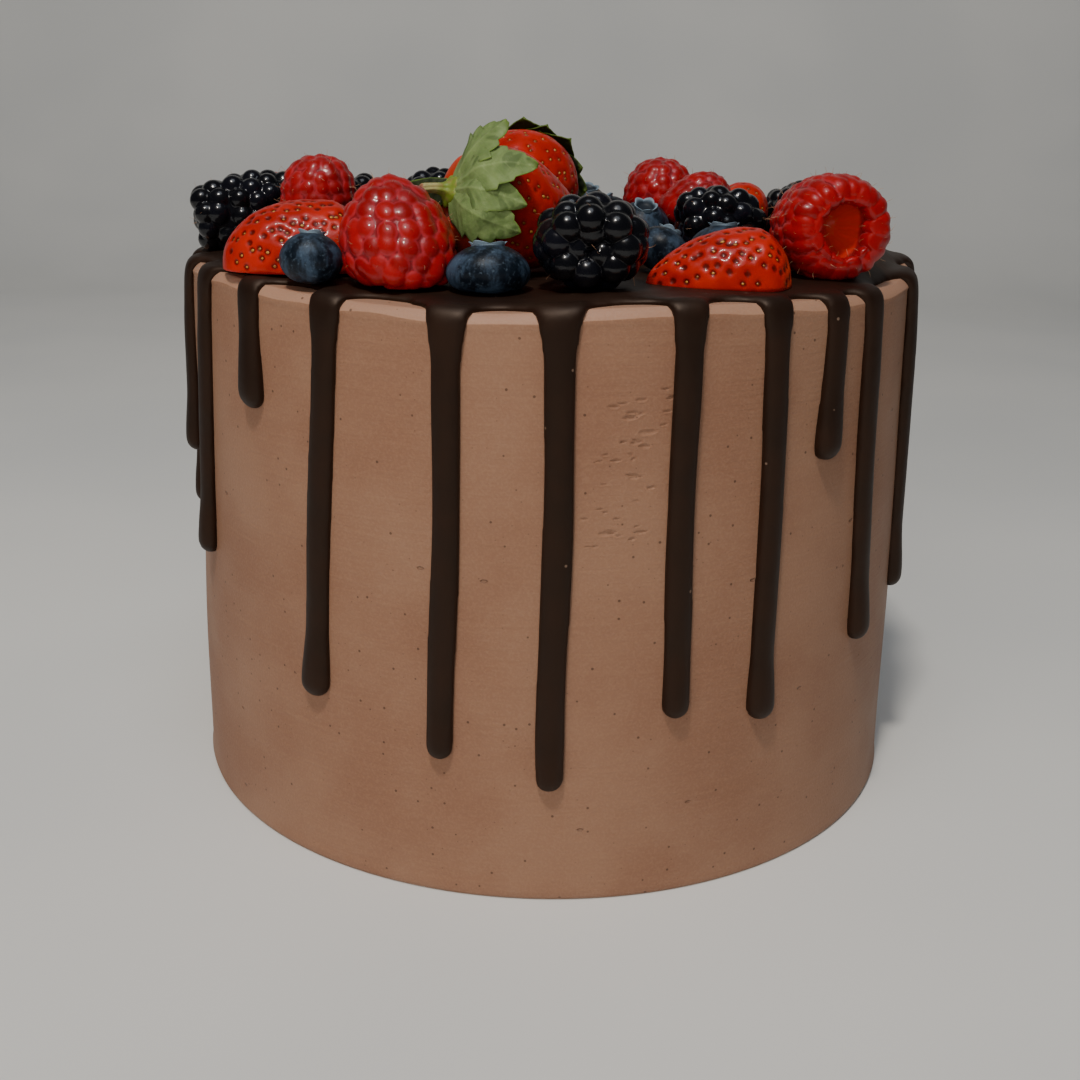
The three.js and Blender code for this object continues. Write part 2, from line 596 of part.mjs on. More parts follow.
function calyx(leaves) {
  const stem = new THREE.CylinderGeometry(STEM_RADIUS, STEM_ROOT_RADIUS, STEM_LENGTH, STEM_SIDES);
  stem.rotateX(-Math.PI / 2).translate(0, 0, STEM_SINK - STEM_LENGTH / 2);
  const hub = new THREE.CylinderGeometry(HUB_RADIUS, HUB_RADIUS, HUB_THICKNESS, HUB_SIDES);
  hub.rotateX(Math.PI / 2);
  const blades = leaves.map((leaf) => {
    const blade = calyxLeaf(leaf).translate(HUB_RADIUS - LEAF_SINK, 0, 0);
    return blade.rotateZ(rad(180 + leaf.around));
  });
  return joined([hub, stem, ...blades]);
}

function material(color, roughness) {
  return new THREE.MeshStandardMaterial({ color, roughness, metalness: 0 });
}
const BUTTERCREAM = material(0x8f6e58, 0.75);
const GANACHE = material(0x2b1d18, 0.35);
const RASPBERRY_FLESH = material(0xa81f24, 0.45);
const BRAMBLE_FLESH = material(0x14151b, 0.2);
const STRAWBERRY_FLESH = material(0xbb2412, 0.3);
const BLUEBERRY_SKIN = material(0x34455a, 0.6);
const LEAF = material(0x71843f, 0.65);

const cake = new THREE.Group();

function addPiece(name, geometry, surface) {
  const mesh = new THREE.Mesh(geometry, surface);
  mesh.name = name;
  cake.add(mesh);
  return mesh;
}

// Turns a piece whose tip is along +Z to its heading and pitch.
function turnTip(mesh, { heading, pitch }) {
  mesh.rotation.set(0, rad(90 - pitch), rad(heading), "ZYX");
}

// Lowers a piece until it is just clear of the ganache below it.
function standOnGanache(mesh, { x, y, lift = 0 }) {
  mesh.position.set(x, y, CAKE_HEIGHT);
  mesh.updateMatrix();
  const points = mesh.geometry.clone().applyMatrix4(mesh.matrix).attributes.position;
  let gap = Infinity;
  for (let i = 0; i < points.count; i++) {
    gap = Math.min(gap, points.getZ(i) - ganacheTop(points.getX(i), points.getY(i)));
  }
  mesh.position.z += CLEARANCE + lift - gap;
}

function addFruit(name, places, shape, surface) {
  return places.map((place, i) => {
    const geometry = shape(place).scale(place.flatness ?? 1, 1, 1);
    const mesh = addPiece(name + "_" + (i + 1), geometry, surface);
    turnTip(mesh, place);
    standOnGanache(mesh, place);
    return mesh;
  });
}

// A calyx sits on a strawberry's stem end and turns with it.
function addCalyx(berry, { length }, leaves) {
  const mesh = addPiece(berry.name + "_calyx", calyx(leaves), LEAF);
  mesh.rotation.copy(berry.rotation);
  const back = new THREE.Vector3(0, 0, -length / 2 - HUB_THICKNESS / 2 - CLEARANCE);
  mesh.position.copy(berry.position).add(back.applyEuler(berry.rotation));
}

addPiece("cake", cakeBody(), BUTTERCREAM);
addPiece("ganache", ganache(), GANACHE);
addFruit("raspberry", RASPBERRIES, raspberry, RASPBERRY_FLESH);
addFruit("bramble", BRAMBLES, bramble, BRAMBLE_FLESH);
addFruit("blueberry", BLUEBERRIES, blueberry, BLUEBERRY_SKIN);
const strawberries = addFruit("strawberry", STRAWBERRIES, strawberry, STRAWBERRY_FLESH);
addCalyx(strawberries[0], STRAWBERRIES[0], SPREAD_LEAVES);
addCalyx(strawberries[1], STRAWBERRIES[1], COLLAR_LEAVES);
STRAWBERRY_HALVES.forEach((place, i) => {
  const mesh = addPiece("strawberry_half_" + (i + 1), strawberryHalf(place), STRAWBERRY_FLESH);
  mesh.rotation.z = rad(place.heading);
  standOnGanache(mesh, place);
});

export default cake;
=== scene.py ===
"""A tall chocolate cake with a ganache drip and a heap of fresh berries.

Lengths are worked out in millimetres and turned to metres when a mesh is made. Angles round the
cake are in degrees from the front, positive towards +X, and -Y is the front. A run is a distance
along the cake's skin from the middle of its rim, positive down the side and negative inwards.
"""

import math
from collections import namedtuple

import bpy
import numpy as np
from bpy.props import FloatProperty, FloatVectorProperty, PointerProperty
from mathutils import Euler, Matrix, Vector


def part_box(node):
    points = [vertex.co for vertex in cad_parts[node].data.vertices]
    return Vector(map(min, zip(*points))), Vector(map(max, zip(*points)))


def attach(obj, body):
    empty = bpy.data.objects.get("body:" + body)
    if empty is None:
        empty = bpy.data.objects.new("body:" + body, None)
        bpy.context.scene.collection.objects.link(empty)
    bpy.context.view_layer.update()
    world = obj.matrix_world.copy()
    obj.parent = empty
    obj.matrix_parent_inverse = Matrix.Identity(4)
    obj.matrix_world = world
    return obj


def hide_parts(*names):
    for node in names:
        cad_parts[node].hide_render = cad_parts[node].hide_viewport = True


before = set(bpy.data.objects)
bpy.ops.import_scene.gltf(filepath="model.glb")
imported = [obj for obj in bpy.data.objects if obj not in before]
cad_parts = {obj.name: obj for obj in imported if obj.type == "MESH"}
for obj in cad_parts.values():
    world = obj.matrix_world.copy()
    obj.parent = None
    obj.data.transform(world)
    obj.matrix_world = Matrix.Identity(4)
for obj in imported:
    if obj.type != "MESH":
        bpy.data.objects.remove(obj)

bl_info = {
    "name": "Chocolate drip cake with berries",
    "version": (1, 0, 0),
    "blender": (4, 5, 0),
    "location": "3D View > Sidebar > Drip cake",
    "description": "Builds a tall chocolate cake with a ganache drip and fresh berries",
    "category": "Add Mesh",
}

MM = 0.001
TURN = 2 * math.pi
GOLDEN_ANGLE = math.pi * (3 - math.sqrt(5))
# rows of round things that are packed closely lie this share of their spacing apart
PACKED_ROWS = 0.87
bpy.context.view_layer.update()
RANDOM_SEEDS = {
    "coat": 5,
    "rim": 8,
    "scoops": 17,
    "drips": 21,
    "raspberry": 31,
    "bramble": 61,
    "blueberry": 91,
    "strawberry": 121,
    "strawberry_half": 131,
    "calyx": 141,
    "seeds_kept": 40,
}

# The cake and its coat
CAKE_HEIGHT = 117.5
TOP_RADIUS = 81.6
FOOT_RADIUS = 84.7
FOOT_RINGS = (20.0, 55.0, 78.0, FOOT_RADIUS - 0.9)
FOOT_EDGE = (FOOT_RADIUS - 0.3, 0.25)  # radius, height
RIM_ROUNDING = 1.6
RIM_LIFT = 1.1
RIM_WAVES = 5
RIM_WAVE_HEIGHT = 0.55
RIM_WAVE_START = 16
RIM_DIP_AT = -7
RIM_DIP_WIDTH = 10
RIM_DIP_DEPTH = 0.8
COAT_WAVE_DEPTH = 0.13
COAT_WAVE_HEIGHT = 30
COAT_WAVE_FADE = 3  # the waves are full from this height
LEVEL_STEPS = (0.7, 0.8, 0.6)  # below, among and above the scoops, as shares of the step round
BEVEL_SHARES = (0.0, 0.08, 0.25, 0.5, 0.75, 0.92, 1.0)
BEVEL_BULGE = 0.112
BEVEL_DROP = 0.2
BEVEL_WAVE_HEIGHT = 0.16
TOP_RUNS = (-1.6, -2.4, -3.4, -4.6, -6.2, -9.0, -16.0, -40.0, -66.0)

# The shallow scoops that the scraper left in the coat
SCOOP_SECTORS = ((3.0, 17.0), (148.0, 157.0))
SCOOP_INSETS = (1, 5)  # how far inside a sector's two ends its lowest scoops lie
SCOOP_HEIGHTS = (75.0, 107.0)
SCOOP_MARGIN = 2
SCOOP_LEAN = 0.154  # degrees further round for each millimetre up
SCOOPS_IN_EACH = 38
SCOOP_LENGTH = 1.2
SCOOP_EXTRA_LENGTH = 2.6
SCOOP_BREADTHS = (0.2, 0.36)  # shares of its length
SCOOP_SLANTS = (-0.1, 0.15)
SCOOP_DEPTHS = (0.2, 0.38)
BURR_HEIGHT = 0.1
BURR_AT = 1.15  # these two are shares of the scoop's half size
BURR_WIDTH = 0.16

# The ganache
CLEARANCE = 0.35
POOL_RADIUS = 76.6
POOL_SIDE_SPREAD = 1.8
POOL_THICKNESS = 1.35
POOL_DEPTH = 0.6
POOL_EDGE_THICKNESS = 0.95
POOL_EDGE_ROUNDING = 1.6
POOL_EDGE_SLOPE = 12
POOL_EDGE_RINGS = 9
POOL_WANDER = ((0.9, 3, 0.8), (0.6, 7, 2.1))  # size, waves round the cake, start
POOL_HUMP = (78, 24, 3.0)  # at, width in degrees, height
POOL_HUMP_SPREAD = 1.4
POOL_HUMP_RISE = (0, 6)  # from the edge inwards, where it starts and ends to rise and to fall
POOL_HUMP_FALL = (12, 26)
POOL_INSIDES = (3, 5, 9, 14, 24, 40, 58)
POOL_UNDERSIDES = (70.0, 40.0, 12.0, 3.0, 0.4)
POOL_COLUMNS = 360
DRIP_THICKNESS = 1.8
DRIP_THINNING = 0.4
DRIP_THINNING_RUNS = (2, 16)
DRIP_FILLET = 5
DRIP_FLARE = 10
DRIP_FLARE_START = -2
DRIP_STRAY = 1.3
DRIP_DEPTH = 0.7
DRIP_EDGE = 2.7  # how wide its rounded edge is
DRIP_EDGE_SHIFT = 0.94  # brings the shoulders of the drips just outside the pool's edge
DRIP_WIDTH_WAVE = (0.03, 7)  # size, run of one radian
DRIP_SIDE_WAVE = (0.003, 11)
DRIP_START = 4.5
DRIP_STEP = 0.5
DRIP_MIDDLE_STEP = 1.0
DRIP_RIM_RUN = 14
DRIP_TIP_RUN = 4
DRIP_TIP_RINGS = 9
DRIP_TIP_END = 0.985
DRIP_COLUMNS = 17
IN_POOL_RUN = -2.5  # before this run a drip stays just under the pool's edge
IN_POOL_DEPTH = 0.05
RIM_THINNING = 0.3
RIM_THINNING_WIDTH = 2.4
BULB_THICKNESS = 2.5
BULB_RISE = 2
GANACHE_TRIANGLES = 180000
GANACHE_SMOOTHING = (("soften", 5, ""), ("run together", 26, "top"))  # name, rounds, group
RUN_TOGETHER = (9, 2)  # how far below the top the drips start, and end, to run into the pool

# at, tip at, length, width at the rim, neck, bulb
FRONT_DRIPS = (
    (-73.0, -74.0, 42.3, 9.0, 5.6, 6.2),
    (-59.8, -63.0, 62.0, 8.2, 5.6, 6.2),
    (-45.5, -44.9, 24.0, 7.8, 5.8, 6.6),
    (-30.5, -33.4, 80.1, 8.6, 5.6, 6.6),
    (-12.7, -13.7, 86.9, 9.0, 5.5, 5.4),
    (1.6, 1.1, 92.9, 9.2, 5.7, 5.2),
    (17.8, 17.8, 79.5, 8.0, 5.4, 5.6),
    (31.1, 31.5, 83.0, 8.0, 5.2, 6.4),
    (42.0, 41.3, 30.8, 7.2, 5.6, 6.6),
    (51.0, 52.9, 73.5, 8.0, 5.6, 6.4),
    (70.5, 73.5, 71.8, 9.0, 5.8, 6.4),
    (86.0, 87.0, 47.0, 8.2, 5.4, 6.2),
)
BACK_DRIPS = 12
BACK_FIRST = 101
BACK_LAST = 272
BACK_STRAY = 2
BACK_LENGTH = (60, 26)  # a middle value, and how much it varies, as for the three widths
BACK_WIDTHS = ((8, 0.8), (5.4, 0.3), (6.1, 0.4))

# The berries
# how far berries stand below the foot of their node, and those that stand level with it
BERRY_SINK = 0.7
BARELY_SUNK = ("raspberry_1", "strawberry_half_1", "blueberry_1")
NEAR_BERRIES = 2  # the first of each kind are near to the camera and have a finer skin
NEAR_STEP = 0.8
FAR_STEP = 1.15
COMMON_WIDTH = 17
STANDING_PITCH = 60
STANDING_SHARE = 0.98
STANDING_LEAN = 0.9
DRUPELET_SIZES = (0.93, 1.07)
DRUPELET_RISES = (0.86, 1.0)
DRUPELET_STRAYS = (0.2, 0.16, 0.15)  # along and round in spacings, and from row to row in radians
HOLLOW_RIB = 0.1
HAIR_SIZES = (0.4, 0.85)
HAIR_ROOT = 0.15
HAIR_STRAY = 0.3
HAIR_LOWEST = 4  # only drupelets this far above the cake's top keep a hair
BerryKind = namedtuple(
    "BerryKind",
    (
        "slot",  # also the first word of the berries' names
        "shape",  # width of the stem end, where it is widest, and how blunt the tip is
        "hole_share",  # how much of the width the hollow takes
        "hole_depth",  # how much of the length it takes, and what it has more
        "mouth_stretch",  # how oval its mouth is
        "lip_stretch",  # how far the drupelets at its lip are drawn out
        "first_row",  # how many spacings from the lip the first drupelets lie
        "growth",  # how much of a drupelet's size goes with the berry's width
        "bulge",  # how high a drupelet stands, in spacings
        "roundness",  # its radius, in spacings
        "softness",  # how sharp the seams between drupelets are
        "hairs",  # share of the drupelets that keep a hair
    ),
)
RASPBERRY = BerryKind(
    slot="raspberry",
    shape=(0.78, 0.3, 2.1),
    hole_share=0.5,
    hole_depth=(0.42, 0.0),
    mouth_stretch=0.12,
    lip_stretch=0.25,
    first_row=0.42,
    growth=0.3,
    bulge=0.22,
    roundness=0.76,
    softness=9.0,
    hairs=0.75,
)
BRAMBLE = BerryKind(
    slot="bramble",
    shape=(0.72, 0.4, 2.3),
    hole_share=0.17,
    hole_depth=(0.0, 4.0),
    mouth_stretch=0.1,
    lip_stretch=0.0,
    first_row=0.12,
    growth=0.4,
    bulge=0.36,
    roundness=0.57,
    softness=14.0,
    hairs=0.3,
)
UNUSUAL_SHAPES = {
    "raspberry_1": (0.82, 0.34, 1.9),
    "raspberry_3": (0.66, 0.56, 2.6),
    "raspberry_4": (0.8, 0.45, 2.4),
}
StrawberryKind = namedtuple(
    "StrawberryKind",
    (
        "stem_end",  # share of the length that is paler
        "bare_rows",  # rows at the stem end without seeds
        "bare_from",  # share of the length from where the tip has no seeds
        "spacing",  # distance between seeds
        "kept",  # share of the seeds that are left
        "deep",  # depth of the dimples, as a share
    ),
)
WHOLE = StrawberryKind(0.22, 8, 0.965, 3.0, 0.9, 0.55)
HALF = StrawberryKind(0.2, 5, 0.97, 2.7, 0.6, 1.0)
STRAWBERRY_SHAPE = (0.62, 0.3, 1.55)
WHOLE_BARE_TO = 0.06
MOST_SWELL = 1.02
HALF_STEM_SHARE = 0.8
HALF_END_ROUNDING = 0.26
HALF_FLAT_STEP = 1.2
HALF_DOME_POWER = 0.86
DIMPLE_DEPTH = 0.42
DIMPLE_REACH = 0.62
DIMPLE_WIDE_SHARE = 0.35
SEED_SINK = 0.62
SEED_SIZES = (0.72, 0.98)
BLUEBERRY_COLUMNS = 110
BLUEBERRY_LATITUDES = (-86, 62, 46)  # lowest, highest, how many
BLUEBERRY_SAG = 1.1
BIG_BLUEBERRY = 15
BIG_BLUEBERRY_SAG = 1.3
CROWN_HOLE = 0.135
CROWN_FLOOR = 0.425
CROWN_FLOOR_DENT = 0.018
# radius, height, lobes outwards, lobes upwards, how far on the crown, how far inside it
CROWN_RINGS = (
    (0.205, 0.452, 0.0, 0.0, 0.3, 0.0),
    (0.19, 0.462, 0.005, 0.004, 0.6, 0.0),
    (0.188, 0.474, 0.014, 0.014, 0.9, 0.0),
    (0.194, 0.484, 0.024, 0.03, 1.0, 0.0),
    (0.196, 0.488, 0.032, 0.042, 1.0, 0.0),
    (0.186, 0.488, 0.026, 0.04, 0.9, 0.0),
    (0.168, 0.474, 0.012, 0.022, 0.6, 0.3),
    (0.152, 0.455, 0.004, 0.008, 0.3, 0.6),
    (CROWN_HOLE, 0.435, 0.0, 0.0, 0.0, 0.9),
)

# x, y, length, width, heading, pitch, flatness, distance between drupelets where it is unusual
RASPBERRIES = (
    (-29.4, -57.6, 17.5, 22.6, 120, 68, 1.0, 3.8),
    (54.8, -37.8, 22.0, 23.4, 106, -3, 0.92, 2.9),
    (-51.0, -18.5, 21.5, 16.6, 60, 84, 1.0, None),
    (26.2, 21.5, 20.0, 18.4, 100, 86, 1.0, None),
    (34.6, 4.6, 16.0, 16.4, 20, 50, 1.0, None),
    (-6.0, 62.0, 19.0, 17.0, 250, 0, 1.0, None),
    (-62.5, 26.0, 19.0, 15.0, 15, 0, 1.0, None),
)
BRAMBLES = (
    (-66.6, -6.5, 29.0, 17.8, 20, 9, 1.0, None),
    (7.4, -60.5, 19.5, 22.4, 90, 3, 0.79, 5.2),
    (-44.6, 0.6, 20.0, 16.6, 80, 14, 1.0, None),
    (-28.6, 15.5, 21.0, 16.4, 60, 18, 1.0, None),
    (37.8, -14.5, 19.6, 17.0, 8, 4, 1.0, None),
    (58.0, -3.0, 20.0, 16.6, 80, 12, 1.0, None),
    (62.0, 31.0, 20.0, 14.0, 300, 0, 1.0, None),
    (-36.0, 36.5, 18.0, 13.0, 35, 0, 1.0, None),
)
# x, y, length, width, heading, pitch
STRAWBERRIES = (
    (-6.0, -39.5, 32.0, 24.5, 28, -20),
    (-7.8, -4.5, 30.0, 27.6, 264, -20),
    (47.0, 21.5, 23.0, 14.8, 70, 0),
    (-14.0, 40.0, 27.0, 17.0, 200, 0),
)
# x, y, length, width, height, heading, bluntness
STRAWBERRY_HALVES = (
    (-51.0, -45.0, 29.0, 23.5, 13.4, 196, 2.3),
    (32.5, -54.0, 28.6, 21.0, 11.0, 188, 1.7),
    (35.0, 55.0, 27.0, 21.0, 11.0, 150, 1.7),
    (-39.0, 56.0, 26.0, 21.0, 10.6, 30, 1.8),
)
# x, y, width, height, heading, pitch
BLUEBERRIES = (
    (-45.2, -60.6, 12.0, 9.8, 80, 78),
    (-11.6, -63.8, 16.0, 9.4, 100, 82),
    (22.6, -37.0, 11.4, 8.8, 40, 60),
    (20.6, -3.0, 12.6, 11.4, 280, 66),
    (13.0, 10.0, 13.0, 11.6, 180, 76),
    (35.6, -33.0, 14.2, 9.8, 90, 80),
    (-17.0, 26.8, 13.6, 10.6, 200, 66),
    (-54.5, 40.5, 12.0, 10.6, 120, 70),
    (6.5, 28.5, 13.0, 10.0, 60, 66),
    (66.5, 14.0, 12.5, 10.4, 20, 60),
    (8.5, 59.5, 13.4, 10.0, 300, 72),
    (-21.6, 60.0, 12.4, 10.0, 140, 62),
    (52.0, 45.5, 12.8, 10.2, 30, 70),
    (15.5, -20.5, 12.6, 10.2, 220, 74),
    (-30.5, -20.0, 13.0, 10.4, 310, 68),
)

# The leaves and stems of the strawberries
# around the stem, fold, length, width, how deep its teeth are, how much painted shade darkens it
SPREAD_LEAVES = (
    (24, 24, 16.0, 11.5, 0.9, 0.0),
    (58, 60, 20.0, 10.5, 0.5, 0.0),
    (80, 62, 18.5, 8.5, 0.2, 0.0),
    (106, 70, 19.5, 10.5, 0.9, 0.0),
    (262, -26, 14.0, 6.5, 0.0, 0.85),
)
COLLAR_LEAVES = (
    (2, 26, 12.8, 14.5, 0.2, 1.0),
    (36, 28, 12.0, 11.0, 0.1, 1.0),
    (72, 28, 13.0, 13.0, 0.2, 1.0),
    (106, 30, 11.5, 11.0, 0.1, 1.0),
    (140, 30, 11.5, 12.0, 0.1, 1.0),
    (198, 30, 10.0, 10.0, 0.1, 1.0),
    (256, 34, 14.0, 13.0, 0.3, 1.0),
    (284, 30, 12.5, 11.0, 0.1, 1.0),
    (310, 26, 13.0, 13.0, 0.2, 1.0),
    (338, 26, 12.5, 11.0, 0.1, 1.0),
)
LEAF_ROWS = 64
LEAF_COLUMNS = 27
LEAF_SINK = 1.8
LEAF_SIDEWAYS = 0.06
LEAF_KEEL = 0.22
LEAF_MARGIN_WAVE = 0.6
LEAF_QUILT = 0.2
LEAF_CRUMPLE = 0.12
LEAF_TEETH = 6
LEAF_TOOTH_SIZE = 0.42
LEAF_TOOTHED_FROM = 0.38
LEAF_SIDE_SHIFT = 0.09  # how far the teeth of one side are behind those of the other
LEAF_EDGE_THICKNESS = 0.06
LEAF_THICKNESS = 0.16
RIB_WIDTH = 0.26
VEIN_WIDTH = 0.17
VEIN_SPACING = 2.3
VEIN_THICKNESS = 0.12
VEIN_SLANT = 0.85
HUB_RADIUS = 3.6
HUB_THICKNESS = 1.4
HUB_SINK = 0.2
STEM_LENGTH = 6.5
STEM_COLUMNS = 40
STEM_STEP = 0.25
# radius and height of the stem and its hub, from the cut end
STEM_PROFILE = (
    (0.75, 0.3 - STEM_LENGTH),
    (1.0, 0.32 - STEM_LENGTH),
    (1.1, 0.6 - STEM_LENGTH),
    (0.95, -4.4),
    (1.0, -2.8),
    (1.25, -1.6),
    (1.9, -0.9),
    (2.7, -0.5),
    (3.2, 0.0),
    (2.8, 0.45),
    (1.6, 0.6),
)

# The studio: the floor and camera in millimetres, the lamps in metres and watts
FLOOR_FRONT = -900.0
FLOOR_BACK = 700.0
FLOOR_HALF_WIDTH = 1600.0
FLOOR_BEND = 420
WALL_HEIGHT = 1500.0
LIT_HEIGHT = 0.08
# name, place, size, power, colour, whether it shows in reflections
LAMPS = (
    ("key_lamp", (-0.14, -0.52, 1.08), 0.11, 7.6, "#fff6ea", True),
    ("front_softbox", (-0.52, -1.34, 0.5), 1.3, 9.2, "#fffaf4", False),
    ("front_fill", (-0.05, -1.25, 0.2), 1.0, 3.2, "#fffaf4", False),
    ("overhead_softbox", (0.0, -0.38, 1.25), 0.7, 3.6, "#eaf2ff", True),
)
AIR_COLOUR = "#dfe9f2"
AIR_STRENGTH = 0.065
CAMERA_LENS = 43.83
CAMERA_SENSOR = 36
CAMERA_PLACE = (1.01, -311.6, 156.69)
CAMERA_TURN = (70.7045, -0.8763, 0.8092)  # degrees round X, Y and Z


# Small helpers


def linear(code):
    """An sRGB hex colour as linear red, green, blue and alpha."""
    parts = [int(code[i : i + 2], 16) / 255 for i in (1, 3, 5)]
    even = [v / 12.92 if v <= 0.04045 else ((v + 0.055) / 1.055) ** 2.4 for v in parts]
    return (*even, 1.0)


def smoothstep(value, low, high):
    """Rises softly from 0 at low to 1 at high."""
    share = np.clip((value - low) / (high - low), 0, 1)
    return share * share * (3 - 2 * share)


def unit(vectors):
    """The vectors, made one long."""
    return vectors / np.maximum(np.linalg.norm(vectors, axis=-1, keepdims=True), 1e-12)


def wrapped(angle):
    """The same angle in radians, between minus and plus half a turn."""
    return np.arctan2(np.sin(angle), np.cos(angle))


def set_inputs(tree, node, inputs):
    """Gives inputs, named or numbered, a value, or links them from a socket or a node."""
    for name, value in inputs.items():
        if isinstance(name, int):
            socket = node.inputs[name]
        else:
            socket = next(s for s in node.inputs if s.name == name and s.enabled)
        if isinstance(value, bpy.types.Node):
            value = next(s for s in value.outputs if s.enabled)
        if isinstance(value, bpy.types.NodeSocket):
            tree.links.new(value, socket)
        else:
            socket.default_value = value


def add_node(tree, kind, inputs=None, **settings):
    """Adds a node with its settings and links."""
    made = tree.nodes.new(kind)
    for name, value in settings.items():
        setattr(made, name, value)
    set_inputs(tree, made, inputs or {})
    return made


def new_object(name, points, faces, materials=(), values=None):
    """A smooth mesh object from points in millimetres, with float attributes on its points."""
    mesh = bpy.data.meshes.new(name)
    mesh.from_pydata(np.asarray(points) * MM, [], faces)
    for key, numbers in (values or {}).items():
        layer = mesh.attributes.new(key, "FLOAT", "POINT")
        layer.data.foreach_set("value", np.asarray(numbers, dtype=np.float32).ravel())
    for material in materials:
        mesh.materials.append(material)
    mesh.shade_smooth()
    made = bpy.data.objects.new(name, mesh)
    bpy.context.scene.collection.objects.link(made)
    return made


def facing_out(points, faces):
    """The faces of a closed skin, turned round if they point inwards."""
    triangles = [(f[0], f[i], f[i + 1]) for f in faces for i in range(1, len(f) - 1)]
    a, b, c = np.moveaxis(points[np.array(triangles)], 1, 0)
    outward = np.einsum("ij,ij->", a, np.cross(b, c)) > 0
    return faces if outward else [face[::-1] for face in faces]


def closed_grid(rings, first, last):
    """Points and faces of a closed skin over rings of points and the two points at its ends."""
    rows, count = rings.shape[:2]
    points = np.vstack([rings.reshape(-1, 3), first, last])
    index = np.arange(rows * count).reshape(rows, count)
    after = np.roll(index, -1, axis=1)
    quads = np.stack([index[:-1], after[:-1], after[1:], index[1:]], axis=-1).reshape(-1, 4)
    start, end = rows * count, rows * count + 1
    caps = [(start, int(b), int(a)) for a, b in zip(index[0], after[0])]
    caps += [(end, int(a), int(b)) for a, b in zip(index[-1], after[-1])]
    faces = [tuple(q) for q in quads.tolist()] + caps
    return points, facing_out(points, faces)


def closed_sheet(upper, lower):
    """Points and faces of a thin closed sheet between two grids of points."""
    rows, columns = upper.shape[:2]
    size = rows * columns
    points = np.concatenate([upper.reshape(-1, 3), lower.reshape(-1, 3)])
    index = np.arange(size).reshape(rows, columns)
    a, b, c, d = index[:-1, :-1], index[1:, :-1], index[1:, 1:], index[:-1, 1:]
    top = np.stack([a, b, c, d], axis=-1).reshape(-1, 4)
    under = np.stack([a, d, c, b], axis=-1).reshape(-1, 4) + size
    edge = np.concatenate([index[0], index[1:, -1], index[-1, -2::-1], index[-2:0:-1, 0]])
    after = np.roll(edge, -1)
    wall = np.stack([edge, after, after + size, edge + size], axis=1)
    faces = [tuple(face) for face in np.vstack([top, under, wall]).tolist()]
    return points, facing_out(points, faces)


def grid_normals(rings, first, last):
    """Outward unit normals at the points of closed rings."""
    around = np.roll(rings, -1, axis=1) - np.roll(rings, 1, axis=1)
    before = np.concatenate([np.broadcast_to(first, rings[:1].shape), rings[:-1]])
    after = np.concatenate([rings[1:], np.broadcast_to(last, rings[:1].shape)])
    return unit(np.cross(around, after - before))


def resample(curve, step):
    """The points of a curve spaced evenly, about a step apart."""
    lengths = np.concatenate([[0], np.cumsum(np.linalg.norm(np.diff(curve, axis=0), axis=1))])
    count = max(4, int(round(lengths[-1] / step)))
    at = np.linspace(0, lengths[-1], count + 1)
    return np.stack([np.interp(at, lengths, curve[:, k]) for k in range(curve.shape[1])], axis=1)


def rounded(curve, rounds=3):
    """The curve with its corners cut, its ends kept."""
    for _ in range(rounds):
        quarter = 0.75 * curve[:-1] + 0.25 * curve[1:]
        three = 0.25 * curve[:-1] + 0.75 * curve[1:]
        inner = np.stack([quarter, three], axis=1).reshape(-1, curve.shape[1])
        curve = np.vstack([curve[:1], inner, curve[-1:]])
    return curve


def sum_of_waves(first, second, rng, count, first_waves, second_waves):
    """A soft random relief of mean size 1 over two coordinates in radians."""
    total = np.zeros(np.broadcast(first, second).shape)
    for _ in range(count):
        one = rng.integers(-first_waves, first_waves + 1)
        two = rng.uniform(-second_waves, second_waves)
        total += np.cos(one * first + two * second + rng.uniform(0, TURN))
    return total * math.sqrt(2 / count)


def turned(heading, pitch):
    """The turn that takes a piece's tip from +Z to its heading and pitch."""
    return np.array(
        Matrix.Rotation(math.radians(heading), 3, "Z")
        @ Matrix.Rotation(math.radians(90 - pitch), 3, "Y")
    )


def stand(points, turn, x, y, node):
    """Turns a piece's points, and sets them where the node stands. Also gives its middle."""
    placed = points @ turn.T
    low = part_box(node)[0][2] / MM - (0 if node in BARELY_SUNK else BERRY_SINK)
    middle = np.array([x, y, low - placed[:, 2].min()])
    return placed + middle, middle


def finish_piece(piece, node):
    """Sets a piece to ride on the root, and hides the node that it stands for."""
    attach(piece, "root")
    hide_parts(node)


def join_into(piece, extra):
    """Puts another object's mesh into a piece."""
    both = [piece, extra]
    with bpy.context.temp_override(
        object=piece,
        active_object=piece,
        selected_objects=both,
        selected_editable_objects=both,
    ):
        bpy.ops.object.join()


def evaluated(piece):
    """A piece as it is with its modifiers applied."""
    return piece.evaluated_get(bpy.context.evaluated_depsgraph_get())


def make_plain(piece):
    """Turns a piece and its modifiers into a plain mesh."""
    mesh = bpy.data.meshes.new_from_object(evaluated(piece))
    piece.modifiers.clear()
    piece.data = mesh


# The skin of the cake


def round_cake(angle, radius, z):
    """Points at angles round the cake's axis, in radians from the front."""
    angle, radius, z = np.broadcast_arrays(angle, radius, z)
    return np.stack([radius * np.sin(angle), -radius * np.cos(angle), z], axis=-1)


def rim_height(angle):
    """How high the rim stands, with its waves and the dip near the front."""
    wave = RIM_WAVE_HEIGHT * np.cos(RIM_WAVES * (angle - math.radians(RIM_WAVE_START)))
    from_dip = wrapped(angle - math.radians(RIM_DIP_AT)) / math.radians(RIM_DIP_WIDTH)
    return CAKE_HEIGHT + RIM_LIFT + wave - RIM_DIP_DEPTH * np.exp(-(from_dip**2))


